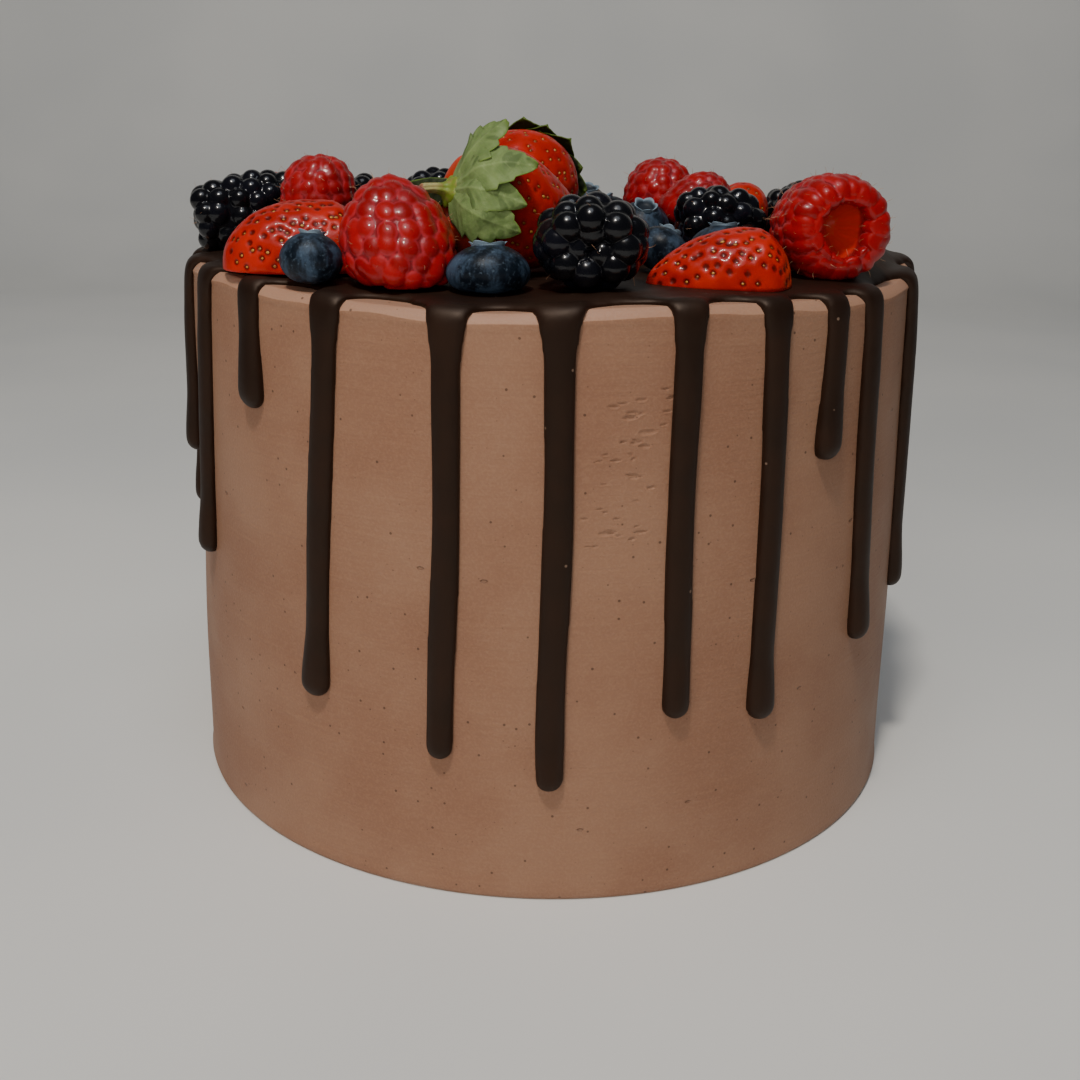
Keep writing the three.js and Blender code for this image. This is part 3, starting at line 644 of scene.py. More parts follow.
def top_height(angle, radius):
    """How high the top is, level in the middle and rising to the rim."""
    return CAKE_HEIGHT + (rim_height(angle) - CAKE_HEIGHT) * (radius / TOP_RADIUS) ** 2


def side_radius(z):
    """The radius of the side, which widens towards the foot."""
    return FOOT_RADIUS + (TOP_RADIUS - FOOT_RADIUS) * z / CAKE_HEIGHT


def above_skin(angle, run, height):
    """The point a height above the cake's skin, a run past the middle of its rim."""
    half_arc = RIM_ROUNDING * math.pi / 4
    flat = TOP_RADIUS - RIM_ROUNDING
    rim = rim_height(angle) - RIM_ROUNDING
    over = flat + run + half_arc
    on_top = round_cake(angle, over, top_height(angle, over) + height)
    down = rim - (run - half_arc)
    on_side = round_cake(angle, side_radius(down) + height, down)
    bend = np.clip((run + half_arc) / RIM_ROUNDING, 0, math.pi / 2)
    reach = RIM_ROUNDING + height
    on_rim = round_cake(angle, flat + reach * np.sin(bend), rim + reach * np.cos(bend))
    run = np.broadcast_to(run, on_top.shape[:-1])[..., None]
    return np.where(run <= -half_arc, on_top, np.where(run >= half_arc, on_side, on_rim))


def pool_edge(angle):
    """The radius of the pool's edge, wider at the sides and at its hump."""
    edge = POOL_RADIUS + POOL_SIDE_SPREAD * smoothstep(np.abs(np.sin(angle)), 0.7, 0.95)
    aside = wrapped(angle - math.radians(POOL_HUMP[0])) / math.radians(POOL_HUMP[1])
    edge = edge + POOL_HUMP_SPREAD * np.exp(-(aside**2))
    for size, waves, start in POOL_WANDER:
        edge = edge + size * np.sin(waves * angle + start)
    return edge


# Materials


def new_material(name):
    """A material with its tree, its shader and a place on the piece in millimetres."""
    material = bpy.data.materials.new(name)
    material.use_nodes = True
    tree = material.node_tree
    place = add_node(tree, "ShaderNodeTexCoord").outputs["Object"]
    in_mm = add_node(
        tree, "ShaderNodeVectorMath", {"Vector": place, "Scale": 1 / MM}, operation="SCALE"
    )
    return material, tree, tree.nodes["Principled BSDF"], in_mm


def layered(tree, base, *layers):
    """Lays colours over a base. Each goes on where its pattern rises from low to high, up to a
    most share, and is given as pattern, low, high, most and colour."""
    for pattern, low, high, most, colour in layers:
        share = add_node(
            tree,
            "ShaderNodeMapRange",
            {"Value": pattern, "From Min": low, "From Max": high, "To Min": 0.0, "To Max": most},
            interpolation_type="SMOOTHSTEP",
        )
        base = add_node(
            tree, "ShaderNodeMix", {"Factor": share, "A": base, "B": colour}, data_type="RGBA"
        )
    return base


def finish_surface(tree, shader, colour, rough, reliefs, settings):
    """Gives a shader its colour, a roughness that follows a pattern (pattern, low, high, start,
    end), reliefs (pattern and depth in millimetres) and the numbers that are the same all over."""
    pattern, low, high, start, end = rough
    roughness = add_node(
        tree,
        "ShaderNodeMapRange",
        {"Value": pattern, "From Min": low, "From Max": high, "To Min": start, "To Max": end},
    )
    bump = None
    for height, depth in reliefs:
        inputs = {"Height": height, "Distance": abs(depth) * MM}
        if bump is not None:
            inputs["Normal"] = bump
        bump = add_node(tree, "ShaderNodeBump", inputs, invert=depth < 0)
    set_inputs(tree, shader, {"Base Color": colour, "Roughness": roughness, "Normal": bump})
    set_inputs(tree, shader, settings)


def spots_of(tree, place, apart, size, least):
    """Round spots, one at most in each cell that is so far apart in millimetres. A size is a
    share of the cell, and the least random number that a cell needs sets how many have one."""
    cells = add_node(tree, "ShaderNodeTexVoronoi", {"Vector": place, "Scale": 1 / apart})
    drawn = add_node(tree, "ShaderNodeSeparateColor", {"Color": cells.outputs["Color"]})
    chosen = add_node(
        tree, "ShaderNodeMath", {0: drawn.outputs["Red"], 1: least}, operation="GREATER_THAN"
    )
    near = add_node(
        tree,
        "ShaderNodeMapRange",
        {
            "Value": cells.outputs["Distance"],
            "From Min": size,
            "From Max": 0.6 * size,
            "To Min": 0.0,
            "To Max": 1.0,
        },
    )
    return add_node(tree, "ShaderNodeMath", {0: near, 1: chosen}, operation="MULTIPLY")


def buttercream_material(colours):
    """Chocolate buttercream scraped smooth: matt and fatty, so it has a broad soft shine, with
    fine cocoa specks, burst air bubbles with painted shade in them, faint level marks where the
    scraper went round, and a paler bevel and top that is partly its own tone and partly painted
    light."""
    material, tree, shader, place = new_material("chocolate_buttercream_scraped")
    level = add_node(
        tree, "ShaderNodeVectorMath", {0: place, 1: (0.05, 0.05, 1.1)}, operation="MULTIPLY"
    )
    wide = add_node(
        tree, "ShaderNodeVectorMath", {0: place, 1: (0.6, 0.6, 1.25)}, operation="MULTIPLY"
    )
    streaks = add_node(tree, "ShaderNodeTexNoise", {"Vector": level, "Scale": 1.0, "Detail": 2.0})
    clouds = add_node(tree, "ShaderNodeTexNoise", {"Vector": place, "Scale": 1 / 24, "Detail": 3.0})
    grain = add_node(tree, "ShaderNodeTexNoise", {"Vector": place, "Scale": 1 / 0.5, "Detail": 3.0})
    band = add_node(tree, "ShaderNodeAttribute", attribute_name="band")
    speck = spots_of(tree, place, 2.4, 0.14, 0.68)
    fine_speck = spots_of(tree, place, 1.5, 0.12, 0.7)
    pit = spots_of(tree, wide, 6.5, 0.075, 0.72)
    colour = layered(
        tree,
        colours.buttercream_dark,
        (clouds, 0.3, 0.7, 1.0, colours.buttercream),
        (streaks, 0.5, 0.8, 0.1, linear("#a47f62")),
        (grain, 0.4, 0.7, 0.16, linear("#a9866b")),
        # partly painted light: the bevel and top are made paler, as they catch light from above,
        # and partly the coat's own paler tone there
        (band, 0.0, 1.0, 0.4, linear("#b8917a")),
        (speck, 0.0, 1.0, 0.7, colours.cocoa_speck),
        (fine_speck, 0.0, 1.0, 0.4, colours.cocoa_speck),
        # painted shade inside the burst air bubbles
        (pit, 0.0, 1.0, 0.35, colours.pit),
    )
    finish_surface(
        tree,
        shader,
        colour,
        (clouds, 0.3, 0.7, 0.62, 0.5),
        ((grain, 0.07), (streaks, 0.09), (pit, -0.35)),
        {
            "IOR": 1.46,
            "Specular IOR Level": 0.3,
            "Subsurface Weight": 0.12,
            "Subsurface Radius": (1.0, 0.55, 0.3),
            "Subsurface Scale": 1.2 * MM,
        },
    )
    return material


def ganache_material(colours):
    """Dark chocolate ganache that has set: near black, with a satin shine that spreads every
    light into a soft grey, and a few pale bubbles."""
    material, tree, shader, place = new_material("dark_ganache_set")
    clouds = add_node(tree, "ShaderNodeTexNoise", {"Vector": place, "Scale": 1 / 9, "Detail": 2.0})
    waves = add_node(tree, "ShaderNodeTexNoise", {"Vector": place, "Scale": 1 / 3.5, "Detail": 2.0})
    bubble = spots_of(tree, place, 4.6, 0.08, 0.82)
    colour = layered(
        tree,
        colours.ganache,
        (clouds, 0.35, 0.7, 1.0, colours.ganache_light),
        (bubble, 0.0, 1.0, 0.5, linear("#8d7462")),
    )
    finish_surface(
        tree,
        shader,
        colour,
        (clouds, 0.3, 0.7, 0.5, 0.6),
        ((waves, 0.1),),
        {"IOR": 1.46, "Specular IOR Level": 0.45, "Specular Tint": linear("#ffe6d2")},
    )
    return material


def raspberry_material(colours):
    """Raspberry flesh: thin skin over juice, so light goes in and comes out redder, with a pale
    powdery bloom along the seams of the drupelets, painted shade in their deepest seams and small
    wet glints."""
    material, tree, shader, place = new_material("raspberry_flesh")
    clouds = add_node(tree, "ShaderNodeTexNoise", {"Vector": place, "Scale": 1 / 4, "Detail": 3.0})
    grain = add_node(tree, "ShaderNodeTexNoise", {"Vector": place, "Scale": 1 / 0.5, "Detail": 2.0})
    tone = add_node(tree, "ShaderNodeAttribute", attribute_name="tone")
    crease = add_node(tree, "ShaderNodeAttribute", attribute_name="crease")
    inside = add_node(tree, "ShaderNodeAttribute", attribute_name="inside")
    colour = layered(
        tree,
        colours.raspberry_dark,
        (tone, 0.0, 1.0, 1.0, colours.raspberry),
        (clouds, 0.45, 0.75, 0.2, linear("#a8202a")),
        (crease, 0.5, 0.85, 0.36, linear("#b03a44")),
        # painted shade: the deepest part of each seam is darkened
        (crease, 0.88, 1.0, 0.6, linear("#5e080c")),
        (inside, 0.2, 1.0, 0.85, colours.raspberry_inside),
    )
    finish_surface(
        tree,
        shader,
        colour,
        (clouds, 0.3, 0.7, 0.34, 0.5),
        ((grain, 0.04),),
        {
            "IOR": 1.38,
            "Specular IOR Level": 0.35,
            "Coat Weight": 0.3,
            "Coat Roughness": 0.07,
            "Subsurface Weight": 0.25,
            "Subsurface Radius": (1.0, 0.12, 0.1),
            "Subsurface Scale": 1.4 * MM,
        },
    )
    return material


def bramble_material(colours):
    """Ripe bramble: a taut glossy skin over ink-dark juice, so it shows little but sharp
    highlights, and a few drupelets that are still red-brown."""
    material, tree, shader, place = new_material("bramble_skin")
    clouds = add_node(tree, "ShaderNodeTexNoise", {"Vector": place, "Scale": 1 / 2, "Detail": 3.0})
    ripples = add_node(
        tree, "ShaderNodeTexNoise", {"Vector": place, "Scale": 1 / 1.4, "Detail": 2.0}
    )
    tone = add_node(tree, "ShaderNodeAttribute", attribute_name="tone")
    inside = add_node(tree, "ShaderNodeAttribute", attribute_name="inside")
    colour = layered(
        tree,
        colours.bramble_unripe,
        (tone, 0.03, 0.07, 1.0, colours.bramble),
        (tone, 0.5, 1.0, 0.5, linear("#10101a")),
        (inside, 0.0, 1.0, 0.9, linear("#3a241c")),
    )
    finish_surface(
        tree,
        shader,
        colour,
        (clouds, 0.3, 0.7, 0.2, 0.3),
        ((ripples, 0.05),),
        {"IOR": 1.42, "Specular IOR Level": 0.3, "Coat Weight": 0.35, "Coat Roughness": 0.06},
    )
    return material


def blueberry_material(colours):
    """Blueberry: near-black blue skin under a waxy bloom that scatters light to slate blue, and
    is rubbed off in streaks and patches."""
    material, tree, shader, place = new_material("blueberry_skin_with_bloom")
    upright = add_node(
        tree, "ShaderNodeVectorMath", {0: place, 1: (1.0, 1.0, 0.5)}, operation="MULTIPLY"
    )
    patches = add_node(
        tree,
        "ShaderNodeTexNoise",
        {"Vector": upright, "Scale": 1 / 4, "Detail": 5.0, "Roughness": 0.66},
    )
    fine = add_node(tree, "ShaderNodeTexNoise", {"Vector": place, "Scale": 1 / 0.7, "Detail": 3.0})
    crown = add_node(tree, "ShaderNodeAttribute", attribute_name="crown")
    inside = add_node(tree, "ShaderNodeAttribute", attribute_name="inside")
    colour = layered(
        tree,
        colours.blueberry,
        (patches, 0.42, 0.66, 0.8, colours.blueberry_bloom),
        (fine, 0.55, 0.8, 0.3, linear("#6f8496")),
        (crown, 0.2, 1.0, 0.7, linear("#8fa5b5")),
        (inside, 0.0, 1.0, 1.0, linear("#20262e")),
    )
    finish_surface(
        tree,
        shader,
        colour,
        (patches, 0.4, 0.66, 0.36, 0.62),
        ((fine, 0.05),),
        {"IOR": 1.4, "Specular IOR Level": 0.3},
    )
    return material


def strawberry_material(colours):
    """Strawberry: wet glossy skin over bright flesh, paler where it was shaded by its leaves, with
    painted shade in the dimples of the seeds."""
    material, tree, shader, place = new_material("strawberry_flesh")
    clouds = add_node(tree, "ShaderNodeTexNoise", {"Vector": place, "Scale": 1 / 8, "Detail": 2.0})
    wet = add_node(tree, "ShaderNodeTexNoise", {"Vector": place, "Scale": 1 / 1.6, "Detail": 3.0})
    grain = add_node(tree, "ShaderNodeTexNoise", {"Vector": place, "Scale": 1 / 0.8, "Detail": 2.0})
    stem_end = add_node(tree, "ShaderNodeAttribute", attribute_name="stem_end")
    dimple = add_node(tree, "ShaderNodeAttribute", attribute_name="dimple")
    colour = layered(
        tree,
        colours.strawberry_dark,
        (clouds, 0.35, 0.65, 1.0, colours.strawberry),
        (stem_end, 0.0, 1.0, 0.5, linear("#cf4a1e")),
        # painted shade in the dimples of the seeds
        (dimple, 0.05, 0.7, 0.85, linear("#460603")),
    )
    finish_surface(
        tree,
        shader,
        colour,
        (wet, 0.3, 0.7, 0.36, 0.5),
        ((grain, 0.06),),
        {
            "IOR": 1.37,
            "Specular IOR Level": 0.3,
            "Coat Weight": 0.2,
            "Coat Roughness": 0.1,
            "Subsurface Weight": 0.35,
            "Subsurface Radius": (1.0, 0.2, 0.08),
            "Subsurface Scale": 2.5 * MM,
        },
    )
    return material


def seed_material(colours):
    """Strawberry seeds: hard, dry and slightly glossy, from gold to brown."""
    material, tree, shader, place = new_material("strawberry_seed")
    kinds = add_node(tree, "ShaderNodeTexNoise", {"Vector": place, "Scale": 1 / 2.2, "Detail": 1.0})
    grain = add_node(tree, "ShaderNodeTexNoise", {"Vector": place, "Scale": 1 / 0.3, "Detail": 1.0})
    colour = layered(tree, colours.seed, (kinds, 0.4, 0.6, 1.0, linear("#7c4a1a")))
    finish_surface(
        tree, shader, colour, (grain, 0.3, 0.7, 0.3, 0.42), ((grain, 0.03),), {"IOR": 1.5}
    )
    return material


def hair_material():
    """The dried styles of the drupelets: thin straw-brown hairs."""
    material, tree, shader, place = new_material("berry_hair")
    kinds = add_node(tree, "ShaderNodeTexNoise", {"Vector": place, "Scale": 1 / 2, "Detail": 1.0})
    colour = layered(tree, linear("#8a5a3c"), (kinds, 0.3, 0.7, 1.0, linear("#c79a76")))
    finish_surface(tree, shader, colour, (kinds, 0.3, 0.7, 0.5, 0.6), ((kinds, 0.02),), {})
    return material


def sepal_material(colours):
    """A strawberry's sepal: soft and matt with fine down, paler underneath, its veins lighter, with
    painted shade in the creases between them and a painted lit edge along its margin. Painted shade
    makes some nearly black-green."""
    material, tree, shader, place = new_material("strawberry_sepal")
    clouds = add_node(tree, "ShaderNodeTexNoise", {"Vector": place, "Scale": 1 / 3, "Detail": 4.0})
    down = add_node(tree, "ShaderNodeTexNoise", {"Vector": place, "Scale": 1 / 0.6, "Detail": 3.0})
    underside = add_node(tree, "ShaderNodeAttribute", attribute_name="underside")
    vein = add_node(tree, "ShaderNodeAttribute", attribute_name="vein")
    crease = add_node(tree, "ShaderNodeAttribute", attribute_name="crease")
    rim = add_node(tree, "ShaderNodeAttribute", attribute_name="rim")
    painted_shade = add_node(tree, "ShaderNodeAttribute", attribute_name="painted_shade")
    colour = layered(
        tree,
        colours.sepal,
        (underside, 0.0, 1.0, 1.0, linear("#728550")),
        (clouds, 0.3, 0.7, 0.45, linear("#3c5420")),
        # painted shade in the creases of the leaf's quilting and crumples
        (crease, 0.4, 1.0, 0.5, linear("#2c4016")),
        (vein, 0.1, 1.0, 0.45, linear("#8c9e66")),
        # painted shade: leaves that lie in shade are darkened nearly to black-green
        (painted_shade, 0.0, 1.0, 0.93, linear("#10160a")),
        # painted light: the margins and tip are made paler green, as edges that catch the light
        (rim, 0.3, 1.0, 0.55, linear("#6f8a34")),
    )
    finish_surface(
        tree,
        shader,
        colour,
        (clouds, 0.3, 0.7, 0.55, 0.7),
        ((clouds, 0.25), (down, 0.08)),
        {
            "Specular IOR Level": 0.3,
            "Subsurface Weight": 0.1,
            "Subsurface Radius": (0.4, 1.0, 0.2),
            "Subsurface Scale": 0.5 * MM,
        },
    )
    return material


def stem_material():
    """The hub and stub of the stem: juicy yellow-green, paler along it, browned at the cut."""
    material, tree, shader, place = new_material("strawberry_stem")
    fibre = add_node(tree, "ShaderNodeTexNoise", {"Vector": place, "Scale": 1 / 1.2, "Detail": 3.0})
    stalk = add_node(tree, "ShaderNodeAttribute", attribute_name="stalk")
    end = add_node(tree, "ShaderNodeAttribute", attribute_name="cut")
    colour = layered(
        tree,
        linear("#6b7c28"),
        (stalk, 0.0, 1.0, 1.0, linear("#a59f68")),
        (fibre, 0.45, 0.75, 0.5, linear("#8d6c4a")),
        (end, 0.0, 1.0, 0.8, linear("#8e4d3c")),
    )
    finish_surface(
        tree,
        shader,
        colour,
        (fibre, 0.3, 0.7, 0.45, 0.6),
        ((fibre, 0.12),),
        {"Specular IOR Level": 0.35, "Subsurface Weight": 0.1, "Subsurface Scale": 0.6 * MM},
    )
    return material


def floor_material():
    """A pale matt backdrop: smooth paint, even and dull, with very faint clouds."""
    material, tree, shader, place = new_material("pale_matt_floor")
    clouds = add_node(tree, "ShaderNodeTexNoise", {"Vector": place, "Scale": 1 / 180})
    colour = layered(tree, linear("#d3d4d2"), (clouds, 0.3, 0.7, 1.0, linear("#dbdbd8")))
    finish_surface(tree, shader, colour, (clouds, 0.3, 0.7, 0.7, 0.8), ((clouds, 0.01),), {})
    return material


# Things set on a piece by the same tree: seeds and hairs


def scatter_tree():
    """Geometry Nodes that set one small shape on each spot, turned by the spot's two vectors."""
    tree = bpy.data.node_groups.new("set_on_spots", "GeometryNodeTree")
    for name, way, kind in (
        ("Geometry", "INPUT", "NodeSocketGeometry"),
        ("Shape", "INPUT", "NodeSocketObject"),
        ("Finish", "INPUT", "NodeSocketMaterial"),
        ("Smallest", "INPUT", "NodeSocketFloat"),
        ("Largest", "INPUT", "NodeSocketFloat"),
        ("Seed", "INPUT", "NodeSocketInt"),
        ("Geometry", "OUTPUT", "NodeSocketGeometry"),
    ):
        tree.interface.new_socket(name, in_out=way, socket_type=kind)
    given = add_node(tree, "NodeGroupInput").outputs
    shape = add_node(tree, "GeometryNodeObjectInfo", {"Object": given["Shape"]})
    vectors = {}
    for name in ("aim", "lie"):
        made = add_node(
            tree, "GeometryNodeInputNamedAttribute", {"Name": name}, data_type="FLOAT_VECTOR"
        )
        vectors[name] = made.outputs["Attribute"]
    upright = add_node(
        tree, "FunctionNodeAlignRotationToVector", {"Vector": vectors["aim"]}, axis="Z"
    )
    spun = add_node(
        tree,
        "FunctionNodeAlignRotationToVector",
        {"Rotation": upright.outputs[0], "Vector": vectors["lie"]},
        axis="X",
        pivot_axis="Z",
    )
    size = add_node(
        tree,
        "FunctionNodeRandomValue",
        {2: given["Smallest"], 3: given["Largest"], "Seed": given["Seed"]},
        data_type="FLOAT",
    )
    copies = add_node(
        tree,
        "GeometryNodeInstanceOnPoints",
        {
            "Points": given["Geometry"],
            "Instance": shape.outputs["Geometry"],
            "Rotation": spun.outputs[0],
            "Scale": size.outputs[1],
        },
    )
    real = add_node(tree, "GeometryNodeRealizeInstances", {"Geometry": copies.outputs[0]})
    finished = add_node(
        tree,
        "GeometryNodeSetMaterial",
        {"Geometry": real.outputs[0], "Material": given["Finish"]},
    )
    add_node(tree, "NodeGroupOutput", {0: finished.outputs[0]})


def scattered(name, spots, aims, lies, shape, finish, sizes, seed):
    """A plain mesh object with a shape on every spot, in millimetres. The shape's Z points along
    the spot's aim, and its X lies as near to the other vector as it can."""
    mesh = bpy.data.meshes.new(name + "_spots")
    mesh.from_pydata(spots * MM, [], [])
    for key, vectors in (("aim", aims), ("lie", lies)):
        layer = mesh.attributes.new(key, "FLOAT_VECTOR", "POINT")
        layer.data.foreach_set("vector", np.asarray(vectors, dtype=np.float32).ravel())
    holder = bpy.data.objects.new(name + "_spots", mesh)
    bpy.context.scene.collection.objects.link(holder)
    tree = bpy.data.node_groups["set_on_spots"]
    sockets = {s.name: s.identifier for s in tree.interface.items_tree if s.in_out == "INPUT"}
    modifier = holder.modifiers.new("scatter", "NODES")
    modifier.node_group = tree
    modifier[sockets["Shape"]] = shape
    modifier[sockets["Finish"]] = bpy.data.materials[finish]
    modifier[sockets["Smallest"]], modifier[sockets["Largest"]] = sizes
    modifier[sockets["Seed"]] = seed
    plain = bpy.data.meshes.new_from_object(evaluated(holder))
    for key in ("aim", "lie"):
        if key in plain.attributes:
            plain.attributes.remove(plain.attributes[key])
    plain.shade_smooth()
    made = bpy.data.objects.new(name, plain)
    bpy.context.scene.collection.objects.link(made)
    bpy.data.objects.remove(holder)
    return made


def template(name, points, faces):
    """A shape that only serves to be set on spots, so it isn't rendered itself."""
    made = new_object(name, points, faces)
    made.hide_render = True
    return made


def seed_shape():
    """A strawberry seed: a flat teardrop 1.05 mm long, its point along +X."""
    rings = []
    for share in np.linspace(0.12, 0.9, 5):
        half = 0.36 * math.sin(math.pi * share**0.8) ** 0.8
        angles = np.arange(8) * TURN / 8
        x = np.full(8, 1.05 * (share - 0.42))
        rings.append(np.stack([x, half * np.cos(angles), 0.72 * half * np.sin(angles)], axis=1))
    points, faces = closed_grid(np.array(rings), [-0.44, 0, 0], [0.62, 0, 0])
    return template("seed_shape", points, faces)


def hair_shape():
    """A thin hair 2.4 mm long that leans over along +X."""
    rings = []
    for share in np.linspace(0, 0.94, 6):
        radius = 0.055 * (1 - 0.6 * share)
        angles = np.arange(5) * TURN / 5
        x = 0.9 * share**2 + radius * np.cos(angles)
        z = np.full(5, 2.4 * share * (1 - 0.15 * share))
        rings.append(np.stack([x, radius * np.sin(angles), z], axis=1))
    points, faces = closed_grid(np.array(rings), [0, 0, -0.1], [0.9, 0, 2.05])
    return template("hair_shape", points, faces)


# The cake's coat


def spaced(low, high, step):
    """Values from low up to, but not at, high, about a step apart."""
    return np.linspace(low, high, max(1, round((high - low) / step)), endpoint=False)


def scoop_list(rng):
    """The scoops: angle, height, length, breadth, slant and depth."""
    scoops = []
    for low, high in SCOOP_SECTORS:
        for _ in range(SCOOPS_IN_EACH):
            up = rng.uniform(*SCOOP_HEIGHTS)
            lean = SCOOP_LEAN * (up - SCOOP_HEIGHTS[0])
            at = rng.uniform(low + SCOOP_INSETS[0], high - SCOOP_INSETS[1]) + lean
            length = SCOOP_LENGTH + SCOOP_EXTRA_LENGTH * rng.random() ** 2
            breadth = length * rng.uniform(*SCOOP_BREADTHS)
            slant = rng.uniform(*SCOOP_SLANTS)
            deep = rng.uniform(*SCOOP_DEPTHS)
            scoops.append((math.radians(at), up, length, breadth, slant, deep))
    return scoops


def scooped(angles, z, scoops):
    """How far the scoops go into the side at each point, less the burr below each of them."""
    depth = np.zeros(np.broadcast(angles, z).shape)
    for at, up, length, breadth, slant, deep in scoops:
        aside = wrapped(angles - at) * TOP_RADIUS
        above = z - up - slant * aside
        reach = np.sqrt((aside / (length / 2)) ** 2 + (above / (breadth / 2)) ** 2)
        bowl = deep * np.sqrt(np.clip(1 - reach**2, 0, 1))
        burr = BURR_HEIGHT * np.exp(-(((reach - BURR_AT) / BURR_WIDTH) ** 2)) * (above < 0)
        depth += np.where(np.abs(aside) < 2 * length, bowl - burr, 0)
    return depth


def coat_points(sizes):
    """The scraped coat: rings from the middle of the foot, up the side, over the rim and in. Its
    points lie closer together where the scoops are."""
    fine = sizes.scoop_step / MM
    coarse = sizes.coat_step / MM
    per_degree = math.radians(1) * TOP_RADIUS
    bounds = [*SCOOP_SECTORS[0], *SCOOP_SECTORS[1], SCOOP_SECTORS[0][0] + 360]
    steps = (fine, coarse, fine, coarse)
    sectors = [spaced(a, b, s / per_degree) for a, b, s in zip(bounds, bounds[1:], steps)]
    angles = np.radians(np.concatenate(sectors))
    side_top = CAKE_HEIGHT - RIM_ROUNDING
    heights = (1.0, SCOOP_HEIGHTS[0] - SCOOP_MARGIN, SCOOP_HEIGHTS[1] + SCOOP_MARGIN, side_top)
    steps = np.array([coarse, fine, coarse]) * LEVEL_STEPS
    levels = np.concatenate([spaced(*row) for row in zip(heights, heights[1:], steps)])
    scoops = scoop_list(np.random.default_rng(RANDOM_SEEDS["scoops"]))
    rows = [round_cake(angles, radius, 0.0) for radius in FOOT_RINGS]
    rows.append(round_cake(angles, *FOOT_EDGE))
    for level in levels:
        z = (rim_height(angles) - RIM_ROUNDING) * level / side_top
        rng = np.random.default_rng(RANDOM_SEEDS["coat"])
        waves = sum_of_waves(
            angles, z / COAT_WAVE_HEIGHT, rng, count=14, first_waves=7, second_waves=3.0
        )
        fade = smoothstep(z, 0, COAT_WAVE_FADE)
        inward = fade * np.maximum(COAT_WAVE_DEPTH * (1.5 - waves), 0)
        inward = inward + scooped(angles, z, scoops)
        rows.append(round_cake(angles, side_radius(z) - inward, z))
    before_bevel = len(rows)
    half_arc = RIM_ROUNDING * math.pi / 4
    rng = np.random.default_rng(RANDOM_SEEDS["rim"])
    ripple = sum_of_waves(angles, 0, rng, count=12, first_waves=40, second_waves=1.0)
    ripple = BEVEL_WAVE_HEIGHT * ripple
    corner = above_skin(angles, half_arc, 0.0)
    lip = above_skin(angles, -half_arc, 0.0)
    out = np.stack([np.sin(angles), -np.cos(angles), np.ones_like(angles)], axis=1)
    for share in BEVEL_SHARES:
        bulge = BEVEL_BULGE * math.sin(math.pi * share) * (1 + 0.3 * ripple)[:, None]
        drop = ((ripple - BEVEL_DROP) * (1 - share))[:, None] * [0, 0, 1]
        rows.append(corner + (lip - corner) * share + out * bulge + drop)
    for run in TOP_RUNS:
        rows.append(above_skin(angles, run, 0.0))
    points, faces = closed_grid(np.array(rows), [0, 0, 0], [0, 0, CAKE_HEIGHT])
    # band: the bevel and the top, which the finish paints paler, partly as painted light from above
    band = (np.arange(len(rows)) > before_bevel).astype(float)
    values = {"band": np.concatenate([np.repeat(band, len(angles)), [0, 1]])}
    return points, faces, values


# The ganache


def drip_list():
    """Every drip as at, tip at, length, width at the rim, neck and bulb. Those at the back vary
    by two waves that never come round together."""
    drips = list(FRONT_DRIPS)
    for i in range(BACK_DRIPS):
        share = i / (BACK_DRIPS - 1)
        sway = math.sin(2.4 * i + 0.6)
        stretch = math.sin(1.9 * i + 1.1)
        at = BACK_FIRST + (BACK_LAST - BACK_FIRST) * share + BACK_STRAY * sway
        length = BACK_LENGTH[0] + BACK_LENGTH[1] * stretch
        varied = zip(BACK_WIDTHS, (sway, stretch, sway))
        widths = [width + spread * wave for (width, spread), wave in varied]
        drips.append((at, at + stretch, length, *widths))
    return drips


def drip_half_width(run, drip, edge_run):
    """Half a drip's width at a run: a shoulder that fillets into the pool, a flare over the rim,
    a neck and a round bulb."""
    _, _, length, root, neck, bulb = drip
    past = np.clip(run - edge_run, 0, DRIP_FILLET)
    shoulder = DRIP_FILLET - np.sqrt(DRIP_FILLET**2 - (DRIP_FILLET - past) ** 2)
    flare = (root - neck) * (1 - smoothstep(run, DRIP_FLARE_START, DRIP_FLARE)) / 2
    middle = length - bulb / 2
    swell = (bulb - neck) * smoothstep(run, middle - BULB_RISE * bulb, middle) / 2
    full = neck / 2 + flare + swell + shoulder
    closing = np.sqrt(np.clip(1 - ((run - middle) / (bulb / 2)) ** 2, 0, 1))
    return np.where(run <= middle, full, bulb / 2 * closing)


def drip_thickness(run, length, bulb):
    """How thick a drip is along its middle: thin over the rim, thickest in its bulb."""
    middle = length - bulb / 2
    swell = smoothstep(run, middle - BULB_RISE * bulb, middle)
    thick = DRIP_THICKNESS + (BULB_THICKNESS - DRIP_THICKNESS) * swell
    thick -= DRIP_THINNING * (1 - smoothstep(run, *DRIP_THINNING_RUNS))
    thick *= 1 - RIM_THINNING * math.exp(-((run / RIM_THINNING_WIDTH) ** 2))
    thick *= math.sqrt(max(0.0, 1 - (max(0.0, run - middle) / (bulb / 2)) ** 2))
    return thick if run > IN_POOL_RUN else min(thick, POOL_EDGE_THICKNESS - IN_POOL_DEPTH)


